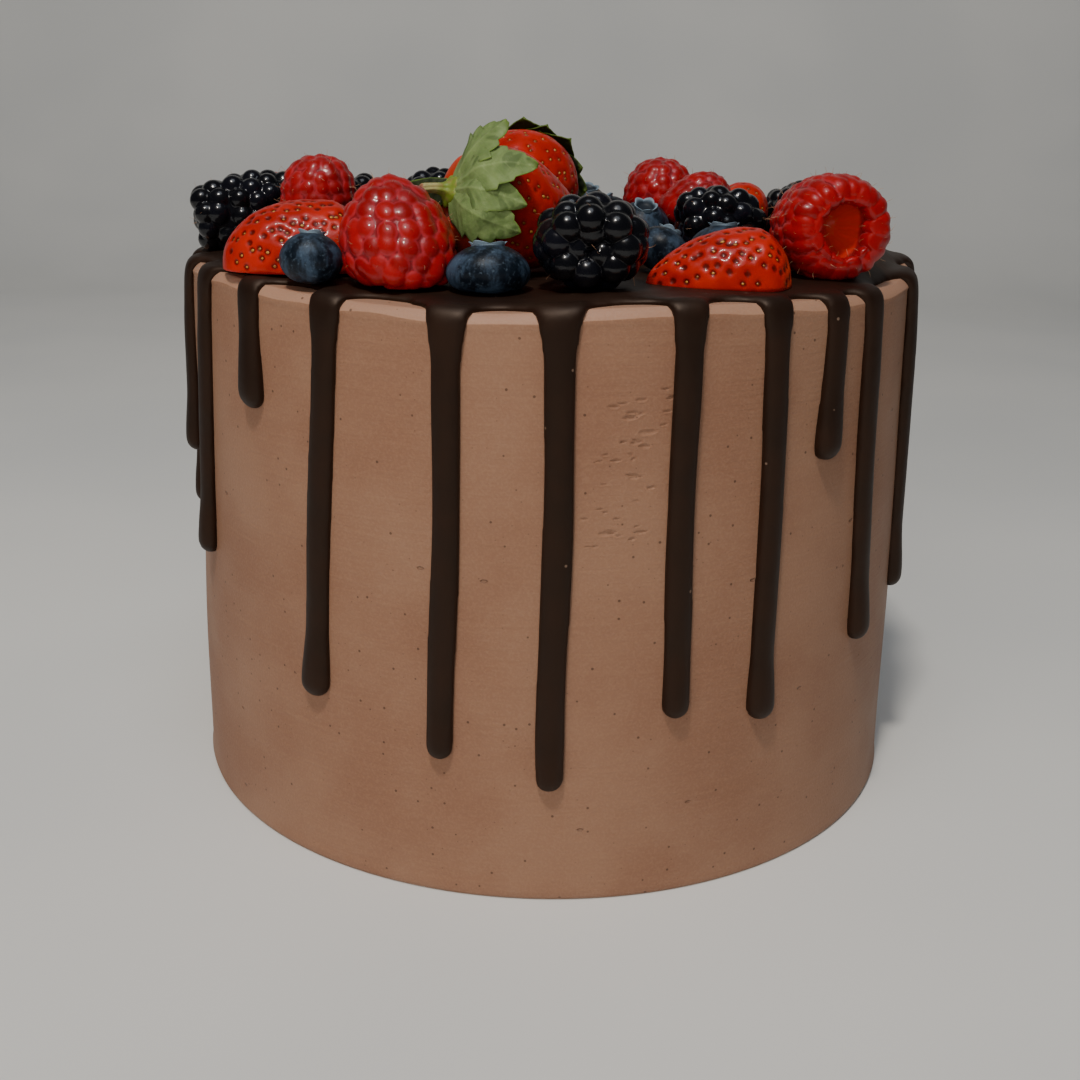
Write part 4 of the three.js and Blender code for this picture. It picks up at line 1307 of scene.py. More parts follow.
def drip_points(drip, rng):
    """One drip, from inside the pool, over the rim and down to its round tip."""
    at, tip_at, length, _, _, bulb = drip
    pool_run = pool_edge(np.array(math.radians(at))) - (TOP_RADIUS - RIM_ROUNDING)
    edge_run = float(pool_run - DRIP_EDGE_SHIFT)
    middle = length - bulb / 2
    tip = np.sin(np.linspace(0, DRIP_TIP_END, DRIP_TIP_RINGS) * math.pi / 2)
    runs = np.concatenate(
        [
            np.arange(edge_run - DRIP_START, DRIP_RIM_RUN, DRIP_STEP),
            np.arange(DRIP_RIM_RUN, middle - DRIP_TIP_RUN, DRIP_MIDDLE_STEP),
            np.arange(middle - DRIP_TIP_RUN, middle, DRIP_STEP),
            middle + bulb / 2 * tip,
        ]
    )
    width_start, side_start = rng.uniform(0, TURN, 2)
    across = np.cos(np.linspace(0, math.pi, DRIP_COLUMNS))
    rings = []
    for run in runs:
        wave = DRIP_WIDTH_WAVE[0] * math.sin(run / DRIP_WIDTH_WAVE[1] + width_start)
        half = float(drip_half_width(run, drip, edge_run)) * (1 + wave * smoothstep(run, 5, 15))
        stray = (tip_at - at) * max(0.0, run / length) ** DRIP_STRAY
        wave = DRIP_SIDE_WAVE[0] * math.sin(run / DRIP_SIDE_WAVE[1] + side_start)
        centre = math.radians(at + stray) + wave
        edge = min(half, DRIP_EDGE)
        inside = np.minimum(half * (1 - np.abs(across)), DRIP_EDGE)
        height = np.sqrt(np.clip(1 - (1 - inside / max(edge, 1e-6)) ** 2, 0, 1))
        height = drip_thickness(run, length, bulb) * height
        angles = centre + half * across / TOP_RADIUS
        over = above_skin(angles, run, CLEARANCE + height)
        sunk = above_skin(angles[::-1][1:-1:3], run, -DRIP_DEPTH)
        rings.append(np.vstack([over, sunk]))
    rings = np.array(rings)
    first = rings[0].mean(axis=0)
    last = above_skin(np.array(math.radians(tip_at)), length, CLEARANCE + 0.2)
    return closed_grid(rings, first, last)


def pool_points():
    """The pool on top, thickest inside and at its hump, with a rounded edge that wanders."""
    angles = np.arange(POOL_COLUMNS) * TURN / POOL_COLUMNS
    edge = pool_edge(angles)
    at, breadth, tall = POOL_HUMP
    humped = tall * np.exp(-(((angles - math.radians(at)) / math.radians(breadth)) ** 2))
    rows = []
    for inside in POOL_UNDERSIDES:
        radius = edge - inside
        rows.append(round_cake(angles, radius, top_height(angles, radius) - POOL_DEPTH))
    rounding = POOL_EDGE_ROUNDING * (1 - np.cos(np.linspace(0, 1, POOL_EDGE_RINGS) * math.pi / 2))
    for inside in (*rounding, *POOL_INSIDES):
        share = min(1.0, inside / POOL_EDGE_ROUNDING)
        slope = min(1.0, max(0.0, (inside - POOL_EDGE_ROUNDING) / POOL_EDGE_SLOPE))
        up = POOL_EDGE_THICKNESS * math.sqrt(1 - (1 - share) ** 2)
        up += (POOL_THICKNESS - POOL_EDGE_THICKNESS) * slope
        hump = smoothstep(inside, *POOL_HUMP_RISE) * (1 - smoothstep(inside, *POOL_HUMP_FALL))
        radius = edge - inside
        height = top_height(angles, radius) + CLEARANCE * share + up + hump * humped
        rows.append(round_cake(angles, radius, height))
    top = CAKE_HEIGHT + CLEARANCE + POOL_THICKNESS
    return closed_grid(np.array(rows), [0, 0, CAKE_HEIGHT - POOL_DEPTH], [0, 0, top])


def run_together(piece, voxel):
    """Melts the pool and drips of a piece into one skin, softens it, most of all round the rim,
    and thins it to fewer triangles."""
    remesh = piece.modifiers.new("join", "REMESH")
    remesh.mode = "VOXEL"
    remesh.voxel_size = voxel
    remesh.use_smooth_shade = True
    make_plain(piece)
    heights = np.array([v.co.z for v in piece.data.vertices]) / MM
    low, high = RUN_TOGETHER
    share = smoothstep(heights, CAKE_HEIGHT - low, CAKE_HEIGHT - high)
    top = piece.vertex_groups.new(name="top")
    for i in np.flatnonzero(share):
        top.add([int(i)], float(share[i]), "REPLACE")
    for label, rounds, group in GANACHE_SMOOTHING:
        soften = piece.modifiers.new(label, "SMOOTH")
        soften.factor = 0.5
        soften.iterations = rounds
        soften.vertex_group = group
    thin = piece.modifiers.new("thin", "DECIMATE")
    count = sum(len(p.vertices) - 2 for p in evaluated(piece).data.polygons)
    thin.ratio = min(1.0, GANACHE_TRIANGLES / count)
    make_plain(piece)


# Berries of drupelets


def outline(share, stem_share, widest_at, bluntness):
    """A berry's radius as a share of its widest, from the stem end at 0 to the tip at 1."""
    share = np.asarray(share, dtype=float)
    low = 1 - (1 - stem_share) * (np.clip(widest_at - share, 0, 1) / widest_at) ** 2
    past = np.clip((share - widest_at) / (1 - widest_at), 0, 1)
    high = np.clip(1 - past**bluntness, 0, 1) ** (1 / bluntness)
    return np.where(share < widest_at, low, high)


def berry_curve(length, width, kind, spacing, step):
    """Radius and height along a hollow berry, from the hollow's bottom, out over its lip and to
    the tip, with the row of the lip. It lies below the crowns of the drupelets to come."""
    sink = kind.bulge * spacing
    hole = kind.hole_share * width / 2
    depth = kind.hole_depth[0] * length + kind.hole_depth[1]
    turn = np.linspace(0, math.pi / 2, 12)
    inner = np.stack([hole * np.sin(turn), sink + (depth - sink) * np.cos(turn)], axis=1)
    share = 1 - (1 - np.linspace(0.03, 1, 40)) ** 1.6
    radius = np.maximum(outline(share, *kind.shape) * width / 2 - sink, 0)
    height = np.maximum(share * (length - sink), 0.25 * sink)
    body = np.stack([radius, height], axis=1)
    curve = resample(rounded(np.vstack([inner, body]), 3), step)
    curve[:, 1] -= length / 2
    lip = int(np.argmax(curve[1:-1, 0] >= 0.96 * hole))
    return curve[1:-1], curve[0, 1], curve[-1, 1], lip


def drupelet_centres(curve, kind, spacing, lip, rng):
    """Spots in rings round a berry, from its lip to its tip, with the directions along it."""
    stray_along, stray_round, stray_start = DRUPELET_STRAYS
    steps = np.linalg.norm(np.diff(curve, axis=0), axis=1)
    run = np.concatenate([[0], np.cumsum(steps)])
    run = run - run[lip]
    tangent = np.gradient(curve, axis=0)
    first = kind.first_row * spacing
    rows = int(round((run[-1] - first) / (PACKED_ROWS * spacing)))
    spots = []
    start = 0.0
    for i in range(rows + 1):
        level = first + (run[-1] - first) * i / rows
        radius = np.interp(level, run, curve[:, 0])
        count = max(1, int(round(TURN * radius / spacing)))
        start += math.pi / count + rng.uniform(-stray_start, stray_start)
        for j in range(count):
            inner_row = 0 < i < rows
            at = level + (rng.uniform(-stray_along, stray_along) * spacing if inner_row else 0)
            angle = start + TURN * (j + rng.uniform(-stray_round, stray_round)) / count
            out, up = (np.interp(at, run, curve[:, k]) for k in (0, 1))
            along = np.array([np.interp(at, run, tangent[:, k]) for k in (0, 1)])
            along /= np.linalg.norm(along)
            across = np.array([math.cos(angle), math.sin(angle)])
            if i == rows:
                out, along = 0.0, np.array([-1.0, 0.0])
            spots.append([*(out * across), up, *(along[0] * across), along[1]])
    spots = np.array(spots)
    return spots[:, :3], unit(spots[:, 3:])


def swollen(flat, out, middles, aims, tangents, sizes, stretches, most, softness):
    """How far each point rises, along its normal, to the surface of the drupelets, and which of
    them is highest there. A drupelet is a ball round its middle, drawn out along its tangent,
    and where balls meet their heights are blended, so that the seams are soft."""
    swell = np.zeros(len(flat))
    tallest = np.full(len(flat), -1.0)
    owner = np.zeros(len(flat), dtype=int)
    for i, (middle, size, aim, tangent) in enumerate(zip(middles, sizes, aims, tangents)):
        apart = flat - middle
        near = np.einsum("ij,ij->i", apart, apart) < (1.7 * size) ** 2
        facing = np.flatnonzero(near & (out @ aim > 0.1))
        apart, ahead = apart[facing], out[facing]
        apart = apart - stretches[i] * (apart @ tangent)[:, None] * tangent
        ahead = ahead - stretches[i] * (ahead @ tangent)[:, None] * tangent
        full = np.einsum("ij,ij->i", ahead, ahead)
        along = np.einsum("ij,ij->i", apart, ahead) / full
        under = along**2 - (np.einsum("ij,ij->i", apart, apart) - size**2) / full
        height = np.where(under > 0, -along + np.sqrt(np.maximum(under, 0)), 0.0)
        height = np.clip(height, 0, most)
        swell[facing] += np.expm1(softness * height)
        higher = height > tallest[facing]
        owner[facing[higher]] = i
        tallest[facing[higher]] = height[higher]
    return np.log1p(swell) / softness, owner


def drupelet_berry(length, width, flatness, kind, spacing, step, rng):
    """A berry whose skin swells into a round drupelet at each centre, its tip along +Z. Gives its
    points, faces and values, and the crown of each drupelet with its direction."""
    curve, bottom, tip, lip = berry_curve(length, width, kind, spacing, step)
    sink = kind.bulge * spacing
    columns = int(round(math.pi * width / step / 2) * 2)
    angles = np.arange(columns) * TURN / columns
    mouth = 1 - smoothstep(np.arange(len(curve)) - lip, 0, 1.6 * spacing / step)[:, None]
    oval = kind.mouth_stretch * np.cos(2 * angles) + 0.05 * np.cos(3 * angles + rng.uniform(0, 6))
    radius = curve[:, :1] * (1 + mouth * oval)
    up = np.broadcast_to(curve[:, 1:], radius.shape)
    rings = np.stack([flatness * radius * np.cos(angles), radius * np.sin(angles), up], axis=-1)
    first, last = np.array([0, 0, bottom]), np.array([0, 0, tip])
    flat, out = rings.reshape(-1, 3), grid_normals(rings, first, last).reshape(-1, 3)

    centres, tangents = drupelet_centres(curve, kind, spacing, lip, rng)
    centres = centres * [flatness, 1, 1]
    nearest = [np.argmin(np.sum((flat - centre) ** 2, axis=1)) for centre in centres]
    centres, aims = flat[nearest], out[nearest]
    near_lip = centres[:, 2] < curve[lip, 1] + 0.6 * spacing
    stretches = np.where(near_lip, kind.lip_stretch, 0.0)
    sizes = kind.roundness * spacing * rng.uniform(*DRUPELET_SIZES, len(centres))
    rises = sink * rng.uniform(*DRUPELET_RISES, len(centres))
    middles = centres + aims * (rises - sizes)[:, None]
    height, owner = swollen(
        flat, out, middles, aims, tangents, sizes, stretches, 1.5 * sink, kind.softness
    )

    row = np.repeat(np.arange(len(curve)), columns)
    inside = np.clip((lip - row) * step / 1.6, 0, 1)
    first_ring = max(6, round(TURN * curve[lip, 0] / spacing))
    ribs = HOLLOW_RIB * (1 + np.cos(first_ring * np.tile(angles, len(curve))))
    height = height * (1 - 0.8 * inside) + ribs * inside * smoothstep(row, 4, 12)
    rings = (flat + out * height[:, None]).reshape(rings.shape)
    points, faces = closed_grid(rings, first, last + [0, 0, sink])
    drop = spacing * (kind.roundness - math.sqrt(kind.roundness**2 - 0.25))
    tones = rng.random(len(centres))
    values = {
        "tone": np.concatenate([tones[owner], [tones[0], tones[-1]]]),
        # crease: 0 on a drupelet's crown, 1 down in a seam; the finish paints pale bloom along the
        # seams and painted shade in the deepest
        "crease": np.concatenate([np.clip((sink - height) / drop, 0, 1), [0, 0]]),
        "inside": np.concatenate([inside, [1, 0]]),
    }
    return points, faces, values, middles + aims * sizes[:, None], aims


def build_drupelet_berry(name, place, kind, drupelet, finish, hair, step, seed):
    """One raspberry or bramble where the table puts it. One that stands nearly upright is grown
    upright to its node's height, and then leans over."""
    x, y, length, width, heading, pitch, flatness, spacing = place
    rng = np.random.default_rng(seed)
    kind = kind._replace(shape=UNUSUAL_SHAPES.get(name, kind.shape))
    lean = 0.0
    if pitch > STANDING_PITCH:
        low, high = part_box(name)
        tall = (high[2] - low[2]) / MM
        lean = STANDING_LEAN * length * math.cos(math.radians(pitch)) / tall
        length = STANDING_SHARE * tall
        pitch = 90
        kind = kind._replace(lip_stretch=0.0)
    spacing = spacing or drupelet * (1 - kind.growth + kind.growth * width / COMMON_WIDTH)
    berry = drupelet_berry(length, width, flatness, kind, spacing, step, rng)
    points, faces, values, crowns, aims = berry
    turn = turned(heading, pitch)
    placed, middle = stand(points, turn, x, y, name)
    crowns = crowns @ turn.T + middle
    way = np.array([math.cos(math.radians(heading)), math.sin(math.radians(heading)), 0])
    for spots in (placed, crowns):
        spots += lean * (spots[:, 2:] - middle[2]) * way
    piece = new_object(name + "_drupelets", placed, faces, [bpy.data.materials[finish]], values)
    aims = unit(aims @ turn.T + rng.normal(0, HAIR_STRAY, aims.shape))
    lies = unit(rng.normal(0, 1, aims.shape))
    keep = rng.random(len(crowns)) < kind.hairs
    keep = keep & (crowns[:, 2] > CAKE_HEIGHT + HAIR_LOWEST)
    roots = crowns[keep] - aims[keep] * HAIR_ROOT
    threads = scattered(
        name + "_hairs", roots, aims[keep], lies[keep], hair, "berry_hair", HAIR_SIZES, seed
    )
    join_into(piece, threads)
    finish_piece(piece, name)


# Strawberries


def strawberry_curve(length, width, step):
    """Radius and height along a strawberry, from the dent at its stem end to its tip."""
    share = 1 - (1 - np.linspace(0, 1, 60)) ** 1.5
    body = np.stack([outline(share, *STRAWBERRY_SHAPE) * width / 2, (share - 0.5) * length], axis=1)
    dent = np.array([[0, 1.2 - length / 2], [0.35 * body[0, 0], 0.7 - length / 2]])
    curve = resample(rounded(np.vstack([dent, body]), 2), step)
    return curve[1:-1], curve[0, 1], curve[-1, 1]


def seed_spots(rings, turn_share, spacing, rng):
    """Rows and columns of seeds set at the golden angle, evenly over the area of a skin whose
    columns cover a share of a full turn."""
    across = np.linalg.norm(np.diff(rings, axis=1), axis=2).sum(axis=1)
    steps = np.linalg.norm(np.diff(rings, axis=0), axis=2).mean(axis=1)
    area = np.concatenate([[0], np.cumsum(across[1:] * steps)]) / turn_share
    count = int(area[-1] / (PACKED_ROWS * spacing**2))
    index = np.arange(count)
    row = np.interp((index + 0.5) / count * area[-1], area, np.arange(len(rings)))
    angle = np.mod(index * GOLDEN_ANGLE + rng.uniform(0, 0.25, count), TURN) / TURN / turn_share
    row = row + rng.uniform(-0.8, 0.8, count)
    column = angle * (rings.shape[1] - 1)
    kept = angle < 1
    rows = np.clip(np.round(row[kept]), 0, len(rings) - 1).astype(int)
    return rows, np.round(column[kept]).astype(int)


def dimpled(points, normals, spots, depth):
    """Sinks a skin round each spot. Also gives how much of a dimple each point is in, which is
    painted as shade.
    """
    sunk = np.zeros(len(points))
    shade = np.zeros(len(points))
    for spot in spots:
        apart = np.sum((points - spot) ** 2, axis=1)
        near = apart < (6 * DIMPLE_REACH) ** 2
        apart = apart[near] / DIMPLE_REACH**2
        sunk[near] += np.exp(-apart) + DIMPLE_WIDE_SHARE * np.exp(-apart / 4)
        shade[near] += np.exp(-(apart**1.5))
    return points - normals * (depth * sunk)[:, None], np.clip(shade, 0, 1)


def strawberry_skin(rings, first, last, share, bare, domed, kind, rng):
    """Points, faces and values of a strawberry's skin, with its seeds' spots and directions. The
    share is each row's place from the stem end to the tip, and seeds are only in the domed
    columns, which come first, where the skin isn't bare."""
    normals = grid_normals(rings, first, last)
    along = np.gradient(rings, axis=0)
    stem_end = np.broadcast_to(1 - smoothstep(share, 0.0, kind.stem_end), rings.shape[:2])
    number = np.arange(len(rings))[:, None]
    bare = bare | (share > kind.bare_from) | (number < kind.bare_rows)
    bare = np.broadcast_to(bare, rings.shape[:2])
    turn_share = 1.0 if domed == rings.shape[1] else 0.5
    rows, columns = seed_spots(rings[:, :domed], turn_share, kind.spacing, rng)
    kept = ~bare[rows, columns]
    rows, columns = rows[kept], columns[kept]
    spots, aims = rings[rows, columns], normals[rows, columns]
    flat = rings.reshape(-1, 3)
    sunk, dimples = dimpled(flat, normals.reshape(-1, 3), spots, DIMPLE_DEPTH * kind.deep)
    points, faces = closed_grid(sunk.reshape(rings.shape), first, last)
    values = {
        # how much painted shade each point gets in the dimples, less on whole berries
        "dimple": np.concatenate([dimples * kind.deep, [0, 0]]),
        "stem_end": np.concatenate([stem_end.reshape(-1), [1, 0]]),
    }
    spots = spots - aims * SEED_SINK * kind.deep
    return points, faces, values, spots, aims, unit(along[rows, columns])


def whole_strawberry(length, width, rng, step):
    """A whole strawberry, its tip along +Z."""
    curve, bottom, tip = strawberry_curve(length, width, step)
    columns = int(round(math.pi * width / step / 2) * 2)
    angles = np.arange(columns) * TURN / columns
    share = curve[:, 1:] / length + 0.5
    waves = sum_of_waves(
        angles[None, :], share * 4, rng, count=8, first_waves=4, second_waves=2.0
    )
    lumps = 0.97 + 0.03 * np.cos(2 * angles) + 0.02 * np.cos(3 * angles + 5 * share)
    lumps = np.minimum(lumps + 0.012 * waves, MOST_SWELL)
    across = curve[:, :1] * lumps
    up = np.broadcast_to(curve[:, 1:], across.shape)
    rings = np.stack([across * np.cos(angles), across * np.sin(angles), up], axis=-1)
    first, last = np.array([0, 0, bottom]), np.array([0, 0, tip])
    return strawberry_skin(rings, first, last, share, share < WHOLE_BARE_TO, columns, WHOLE, rng)


def half_strawberry(length, width, height, bluntness, rng, step):
    """Half a strawberry, cut face down, its tip along +X."""
    rows = int(length * 1.5 / step)
    share = (1 - np.cos(np.linspace(0.0, 1, rows) * math.pi)) / 2
    share = share[1:-1, None]
    size = outline(share, HALF_STEM_SHARE, STRAWBERRY_SHAPE[1], bluntness)
    size = size * np.sqrt(1 - np.clip(1 - share / HALF_END_ROUNDING, 0, 1) ** 2)
    dome = int(math.pi * (width + height) / 2 / 2 / step)
    turn = np.linspace(0, math.pi, dome)
    flat = np.linspace(-1, 1, int(width / HALF_FLAT_STEP))[1:-1]
    across = np.concatenate([np.cos(turn), flat])
    up = np.concatenate([np.sin(turn) ** HALF_DOME_POWER, np.zeros_like(flat)])
    column = np.arange(len(across))
    domed = (column >= 2) & (column < dome - 2)
    waves = sum_of_waves(
        share * 5, column * 0.05, rng, count=8, first_waves=2, second_waves=2.0
    )
    bulge = np.where(domed, np.minimum(1 + 0.012 * waves, MOST_SWELL), 1.0)
    rings = np.stack(
        [
            np.broadcast_to((share - 0.5) * length, bulge.shape),
            size * width / 2 * across * bulge,
            size * height * up * bulge,
        ],
        axis=-1,
    )
    first = np.array([-length / 2, 0, 0.02 * height])
    last = np.array([length / 2, 0, 0.02 * height])
    return strawberry_skin(rings, first, last, share, ~domed, dome, HALF, rng)


def build_strawberry(name, skin, kind, turn, x, y, seed_template, seed):
    """A strawberry with its seeds where the table puts it. Gives its middle."""
    points, faces, values, spots, aims, lies = skin
    points, middle = stand(points, turn, x, y, name)
    material = bpy.data.materials["strawberry_flesh"]
    piece = new_object(name + "_flesh", points, faces, [material], values)
    rng = np.random.default_rng(seed + RANDOM_SEEDS["seeds_kept"])
    kept = rng.random(len(spots)) < kind.kept
    spots = spots[kept] @ turn.T + middle
    aims, lies = aims[kept] @ turn.T, lies[kept] @ turn.T
    grains = scattered(
        name + "_seeds", spots, aims, lies, seed_template, "strawberry_seed", SEED_SIZES, seed
    )
    join_into(piece, grains)
    finish_piece(piece, name)
    return middle


# Blueberries


def blueberry_profile():
    """Every ring of a blueberry from its bottom to the floor of its crown, as the rows of the
    crown are given."""
    rows = []
    for latitude in np.radians(np.linspace(*BLUEBERRY_LATITUDES)):
        dented = 1 - 0.02 * math.exp(-((latitude + 1.4) ** 2) * 6)
        radius, up = math.cos(latitude) / 2, dented * math.sin(latitude) / 2
        rows.append((radius, up, 0, 0, 0, 0))
    rows += CROWN_RINGS
    for share in (0.8, 0.6, 0.4, 0.2):
        floor = CROWN_FLOOR - CROWN_FLOOR_DENT * (1 - share)
        rows.append((CROWN_HOLE * share, floor, 0, 0, 0, 1))
    return np.array(rows)


def blueberry_points(width, height, rng):
    """A flattened berry with a crown of five lobes round a dent, its crown up."""
    columns = BLUEBERRY_COLUMNS
    angles = np.arange(columns) * TURN / columns
    lobe = np.abs(np.cos(2.5 * (angles + 0.12 * np.sin(3 * angles)))) ** 0.9
    lobe = lobe * (1 + 0.2 * np.sin(2 * angles + rng.uniform(0, TURN)))
    profile = blueberry_profile()
    radius, up, lobe_out, lobe_up, crown, inside = profile.T[:, :, None]
    across = (radius + lobe_out * lobe) * width
    rise = (up + lobe_up * lobe) * height
    row = np.arange(len(profile))[:, None]
    waves = sum_of_waves(
        angles[None, :], row * 0.08, rng, count=6, first_waves=3, second_waves=1.5
    )
    sway = np.minimum(1 + 0.012 * waves, 1.0)
    rings = np.stack([across * np.cos(angles), across * np.sin(angles), rise], axis=-1)
    rings[..., :2] *= sway[..., None]
    first, last = np.array([0, 0, -0.49 * height]), np.array([0, 0, 0.43 * height])
    points, faces = closed_grid(rings, first, last)
    values = {
        "crown": np.concatenate([np.repeat(crown, columns), [0, 0]]),
        "inside": np.concatenate([np.repeat(inside, columns), [0, 1]]),
    }
    return points, faces, values


def sagged(points, power):
    """The points, lower in between the lowest and the highest, as a soft berry sags."""
    low, high = points[:, 2].min(), points[:, 2].max()
    share = (points[:, 2] - low) / (high - low)
    points[:, 2] = low + (high - low) * share**power
    return points


# Leaves and stems


def leaf_edge(along, width, teeth, behind):
    """Half the width of a sepal along it: a slim neck, broad below the middle, a pointed tip,
    and forward teeth over its outer part."""
    body = np.clip(np.sin(math.pi * along**0.8), 0, 1) ** 0.8
    neck = 1 - smoothstep(along, 0.05, 0.3)
    tooth = np.mod((along - LEAF_TOOTHED_FROM + behind) * LEAF_TEETH, 1) - 0.4
    fade = smoothstep(along, LEAF_TOOTHED_FROM, 0.5) * (1 - smoothstep(along, 0.92, 1))
    return 0.06 + neck + width / 2 * body * (1 + LEAF_TOOTH_SIZE * teeth * tooth * fade)


def leaf_points(leaf, rng):
    """A toothed, veined and gently curled sepal that runs along +X and folds towards +Z, turned
    to its place round the stem."""
    around, fold, length, width, teeth, painted_shade = leaf
    along = np.linspace(0, 1, LEAF_ROWS)
    slope = math.radians(fold) * smoothstep(along, 0.2, 0.75)
    slope = slope + 0.12 * np.sin(5 * along + rng.uniform(0, TURN)) * along
    step = length / (LEAF_ROWS - 1)
    spine_x = np.concatenate([[0], np.cumsum(step * np.cos(slope[:-1]))])
    spine_z = np.concatenate([[0], np.cumsum(step * np.sin(slope[:-1]))])
    v, u = np.meshgrid(np.linspace(-1, 1, LEAF_COLUMNS), along)
    left = leaf_edge(along, width, teeth, 0.0)[:, None]
    right = leaf_edge(along, width, teeth, LEAF_SIDE_SHIFT)[:, None]
    half = np.where(v < 0, left, right)
    y = v * half
    side = np.abs(v)
    keel = LEAF_KEEL * np.abs(y) * (1 - 0.5 * u)
    margin = np.sin(7.5 * u + rng.uniform(0, TURN) + 0.8 * np.sign(v)) * side**2
    slant = (u * length - VEIN_SLANT * np.abs(y)) / VEIN_SPACING
    quilt = LEAF_QUILT * np.cos(TURN * slant) * side * (1 - side**2) * smoothstep(u, 0.1, 0.3)
    waves = sum_of_waves(u * 9, v * 2, rng, count=10, first_waves=2, second_waves=2.0)
    crumple = LEAF_CRUMPLE * waves * smoothstep(u, 0.15, 0.4)
    lift = keel + LEAF_MARGIN_WAVE * margin + quilt + crumple
    x = spine_x[:, None] - np.sin(slope)[:, None] * lift
    z = spine_z[:, None] + np.cos(slope)[:, None] * lift
    y = y + LEAF_SIDEWAYS * length * math.sin(rng.uniform(0, TURN)) * u**2
    sheet = np.stack([x, y, z], axis=-1)

    rib = np.exp(-((v * half / RIB_WIDTH) ** 2)) * (1 - 0.6 * u)
    from_vein = (slant - np.round(slant)) * VEIN_SPACING
    veins = np.exp(-((from_vein / VEIN_WIDTH) ** 2)) * (1 - side**2) * 0.6
    vein = np.clip(rib + veins, 0, 1) * smoothstep(u, 0.02, 0.1)
    edge = np.clip(np.minimum((1 - side) * half / 0.5, (1 - u) * length / 1.5), 0, 1)
    thick = LEAF_EDGE_THICKNESS + LEAF_THICKNESS * edge
    normal = unit(np.cross(np.gradient(sheet, axis=0), np.gradient(sheet, axis=1)))
    upper = sheet + normal * thick[..., None]
    lower = sheet - normal * (thick + VEIN_THICKNESS * vein)[..., None]
    points, faces = closed_sheet(upper, lower)
    values = {
        "vein": np.tile(vein.reshape(-1), 2),
        "underside": np.repeat([0.0, 1.0], vein.size),
        # crease: how deep each point lies in a fold, which the finish paints darker as shade
        "crease": np.tile(np.clip(-5 * (quilt + crumple), 0, 1).reshape(-1), 2),
        # rim: near the margin and the tip, which the finish paints paler green as lit edges
        "rim": np.tile((1 - edge).reshape(-1), 2),
        # painted shade for the leaves that lie in shade, from 0 to 1
        "painted_shade": np.full(len(points), painted_shade),
    }
    points = points + [HUB_RADIUS - LEAF_SINK, 0, 0]
    turn = np.array(Matrix.Rotation(math.radians(180 + around), 3, "Z"))
    return points @ turn.T, faces, values


def stem_points():
    """The round hub that the sepals grow from, and the cut stub of the stem behind it."""
    curve = resample(rounded(np.array(STEM_PROFILE), 3), STEM_STEP)
    angles = np.arange(STEM_COLUMNS) * TURN / STEM_COLUMNS
    ribs = 1 + 0.09 * np.cos(5 * angles) + 0.04 * np.cos(9 * angles)
    bend = 0.045 * np.minimum(curve[:, 1:], 0) ** 2
    across = curve[:, :1] * ribs
    up = np.broadcast_to(curve[:, 1:], across.shape)
    rings = np.stack([across * np.cos(angles) + bend, across * np.sin(angles), up], axis=-1)
    first = np.array([float(bend[0, 0]), 0, curve[0, 1] + 0.12])
    last = np.array([0, 0, curve[-1, 1]])
    points, faces = closed_grid(rings, first, last)
    cut = 1 - smoothstep(curve[:, 1], 0.3 - STEM_LENGTH, 0.8 - STEM_LENGTH)
    stalk = 1 - smoothstep(curve[:, 1], -4.2, -1.6)
    values = {
        "cut": np.concatenate([np.repeat(cut, STEM_COLUMNS), [1, 0]]),
        "stalk": np.concatenate([np.repeat(stalk, STEM_COLUMNS), [1, 0]]),
    }
    return points, faces, values


def build_calyx(name, leaves, turn, middle, length, seed):
    """The leaves, hub and stem of a strawberry whose turn, middle and length are given."""
    rng = np.random.default_rng(seed)
    back = np.array([0, 0, -length / 2 - HUB_THICKNESS / 2 - CLEARANCE + HUB_SINK])
    where = middle + turn @ back
    points, faces, values = stem_points()
    stem = bpy.data.materials["strawberry_stem"]
    sepal = bpy.data.materials["strawberry_sepal"]
    piece = new_object(name + "_leaves", points @ turn.T + where, faces, [stem], values)
    for i, leaf in enumerate(leaves):
        points, faces, values = leaf_points(leaf, rng)
        blade = new_object(f"leaf_{i}", points @ turn.T + where, faces, [sepal], values)
        join_into(piece, blade)
    finish_piece(piece, name)


# Settings


def colour_property(name, description, code):
    """A colour that the user can change, from an sRGB hex value."""
    return FloatVectorProperty(
        name=name,
        description=description,
        default=linear(code),
        size=4,
        min=0,
        max=1,
        subtype="COLOR",
    )


def length_property(name, description, length, least):
    """A length that the user can change, from millimetres."""
    return FloatProperty(
        name=name,
        description=description,
        default=length * MM,
        min=least * MM,
        unit="LENGTH",
    )


class DripCakeColours(bpy.types.PropertyGroup):
    """The colours of the cake's own surfaces"""

    buttercream: colour_property("Buttercream", "Chocolate buttercream", "#8d6a54")
    buttercream_dark: colour_property("Buttercream shade", "Darker clouds in it", "#845f4a")
    cocoa_speck: colour_property("Cocoa speck", "Undissolved cocoa", "#3a2419")
    pit: colour_property("Air pit", "Shade inside burst bubbles", "#5c4032")
    ganache: colour_property("Ganache", "Dark chocolate ganache", "#190c06")
    ganache_light: colour_property("Ganache light", "Paler clouds in it", "#201008")
    raspberry: colour_property("Raspberry", "Brighter drupelets", "#960c10")
    raspberry_dark: colour_property("Raspberry shade", "Darker drupelets", "#80080c")
    raspberry_inside: colour_property("Raspberry hollow", "Wall of the hollow", "#b92a18")
    bramble: colour_property("Bramble", "Ripe drupelets", "#08080c")
    bramble_unripe: colour_property("Unripe bramble", "Red-brown drupelets", "#2c110c")
    blueberry: colour_property("Blueberry", "Bare skin", "#0c131c")
    blueberry_bloom: colour_property("Blueberry bloom", "Waxy bloom", "#3d4f63")
    strawberry: colour_property("Strawberry", "Bright flesh", "#b01c08")
    strawberry_dark: colour_property("Strawberry shade", "Deeper red flesh", "#981207")
    seed: colour_property("Strawberry seed", "Golden seeds", "#b98236")
    sepal: colour_property("Sepal", "Upper side of the leaves", "#475f24")


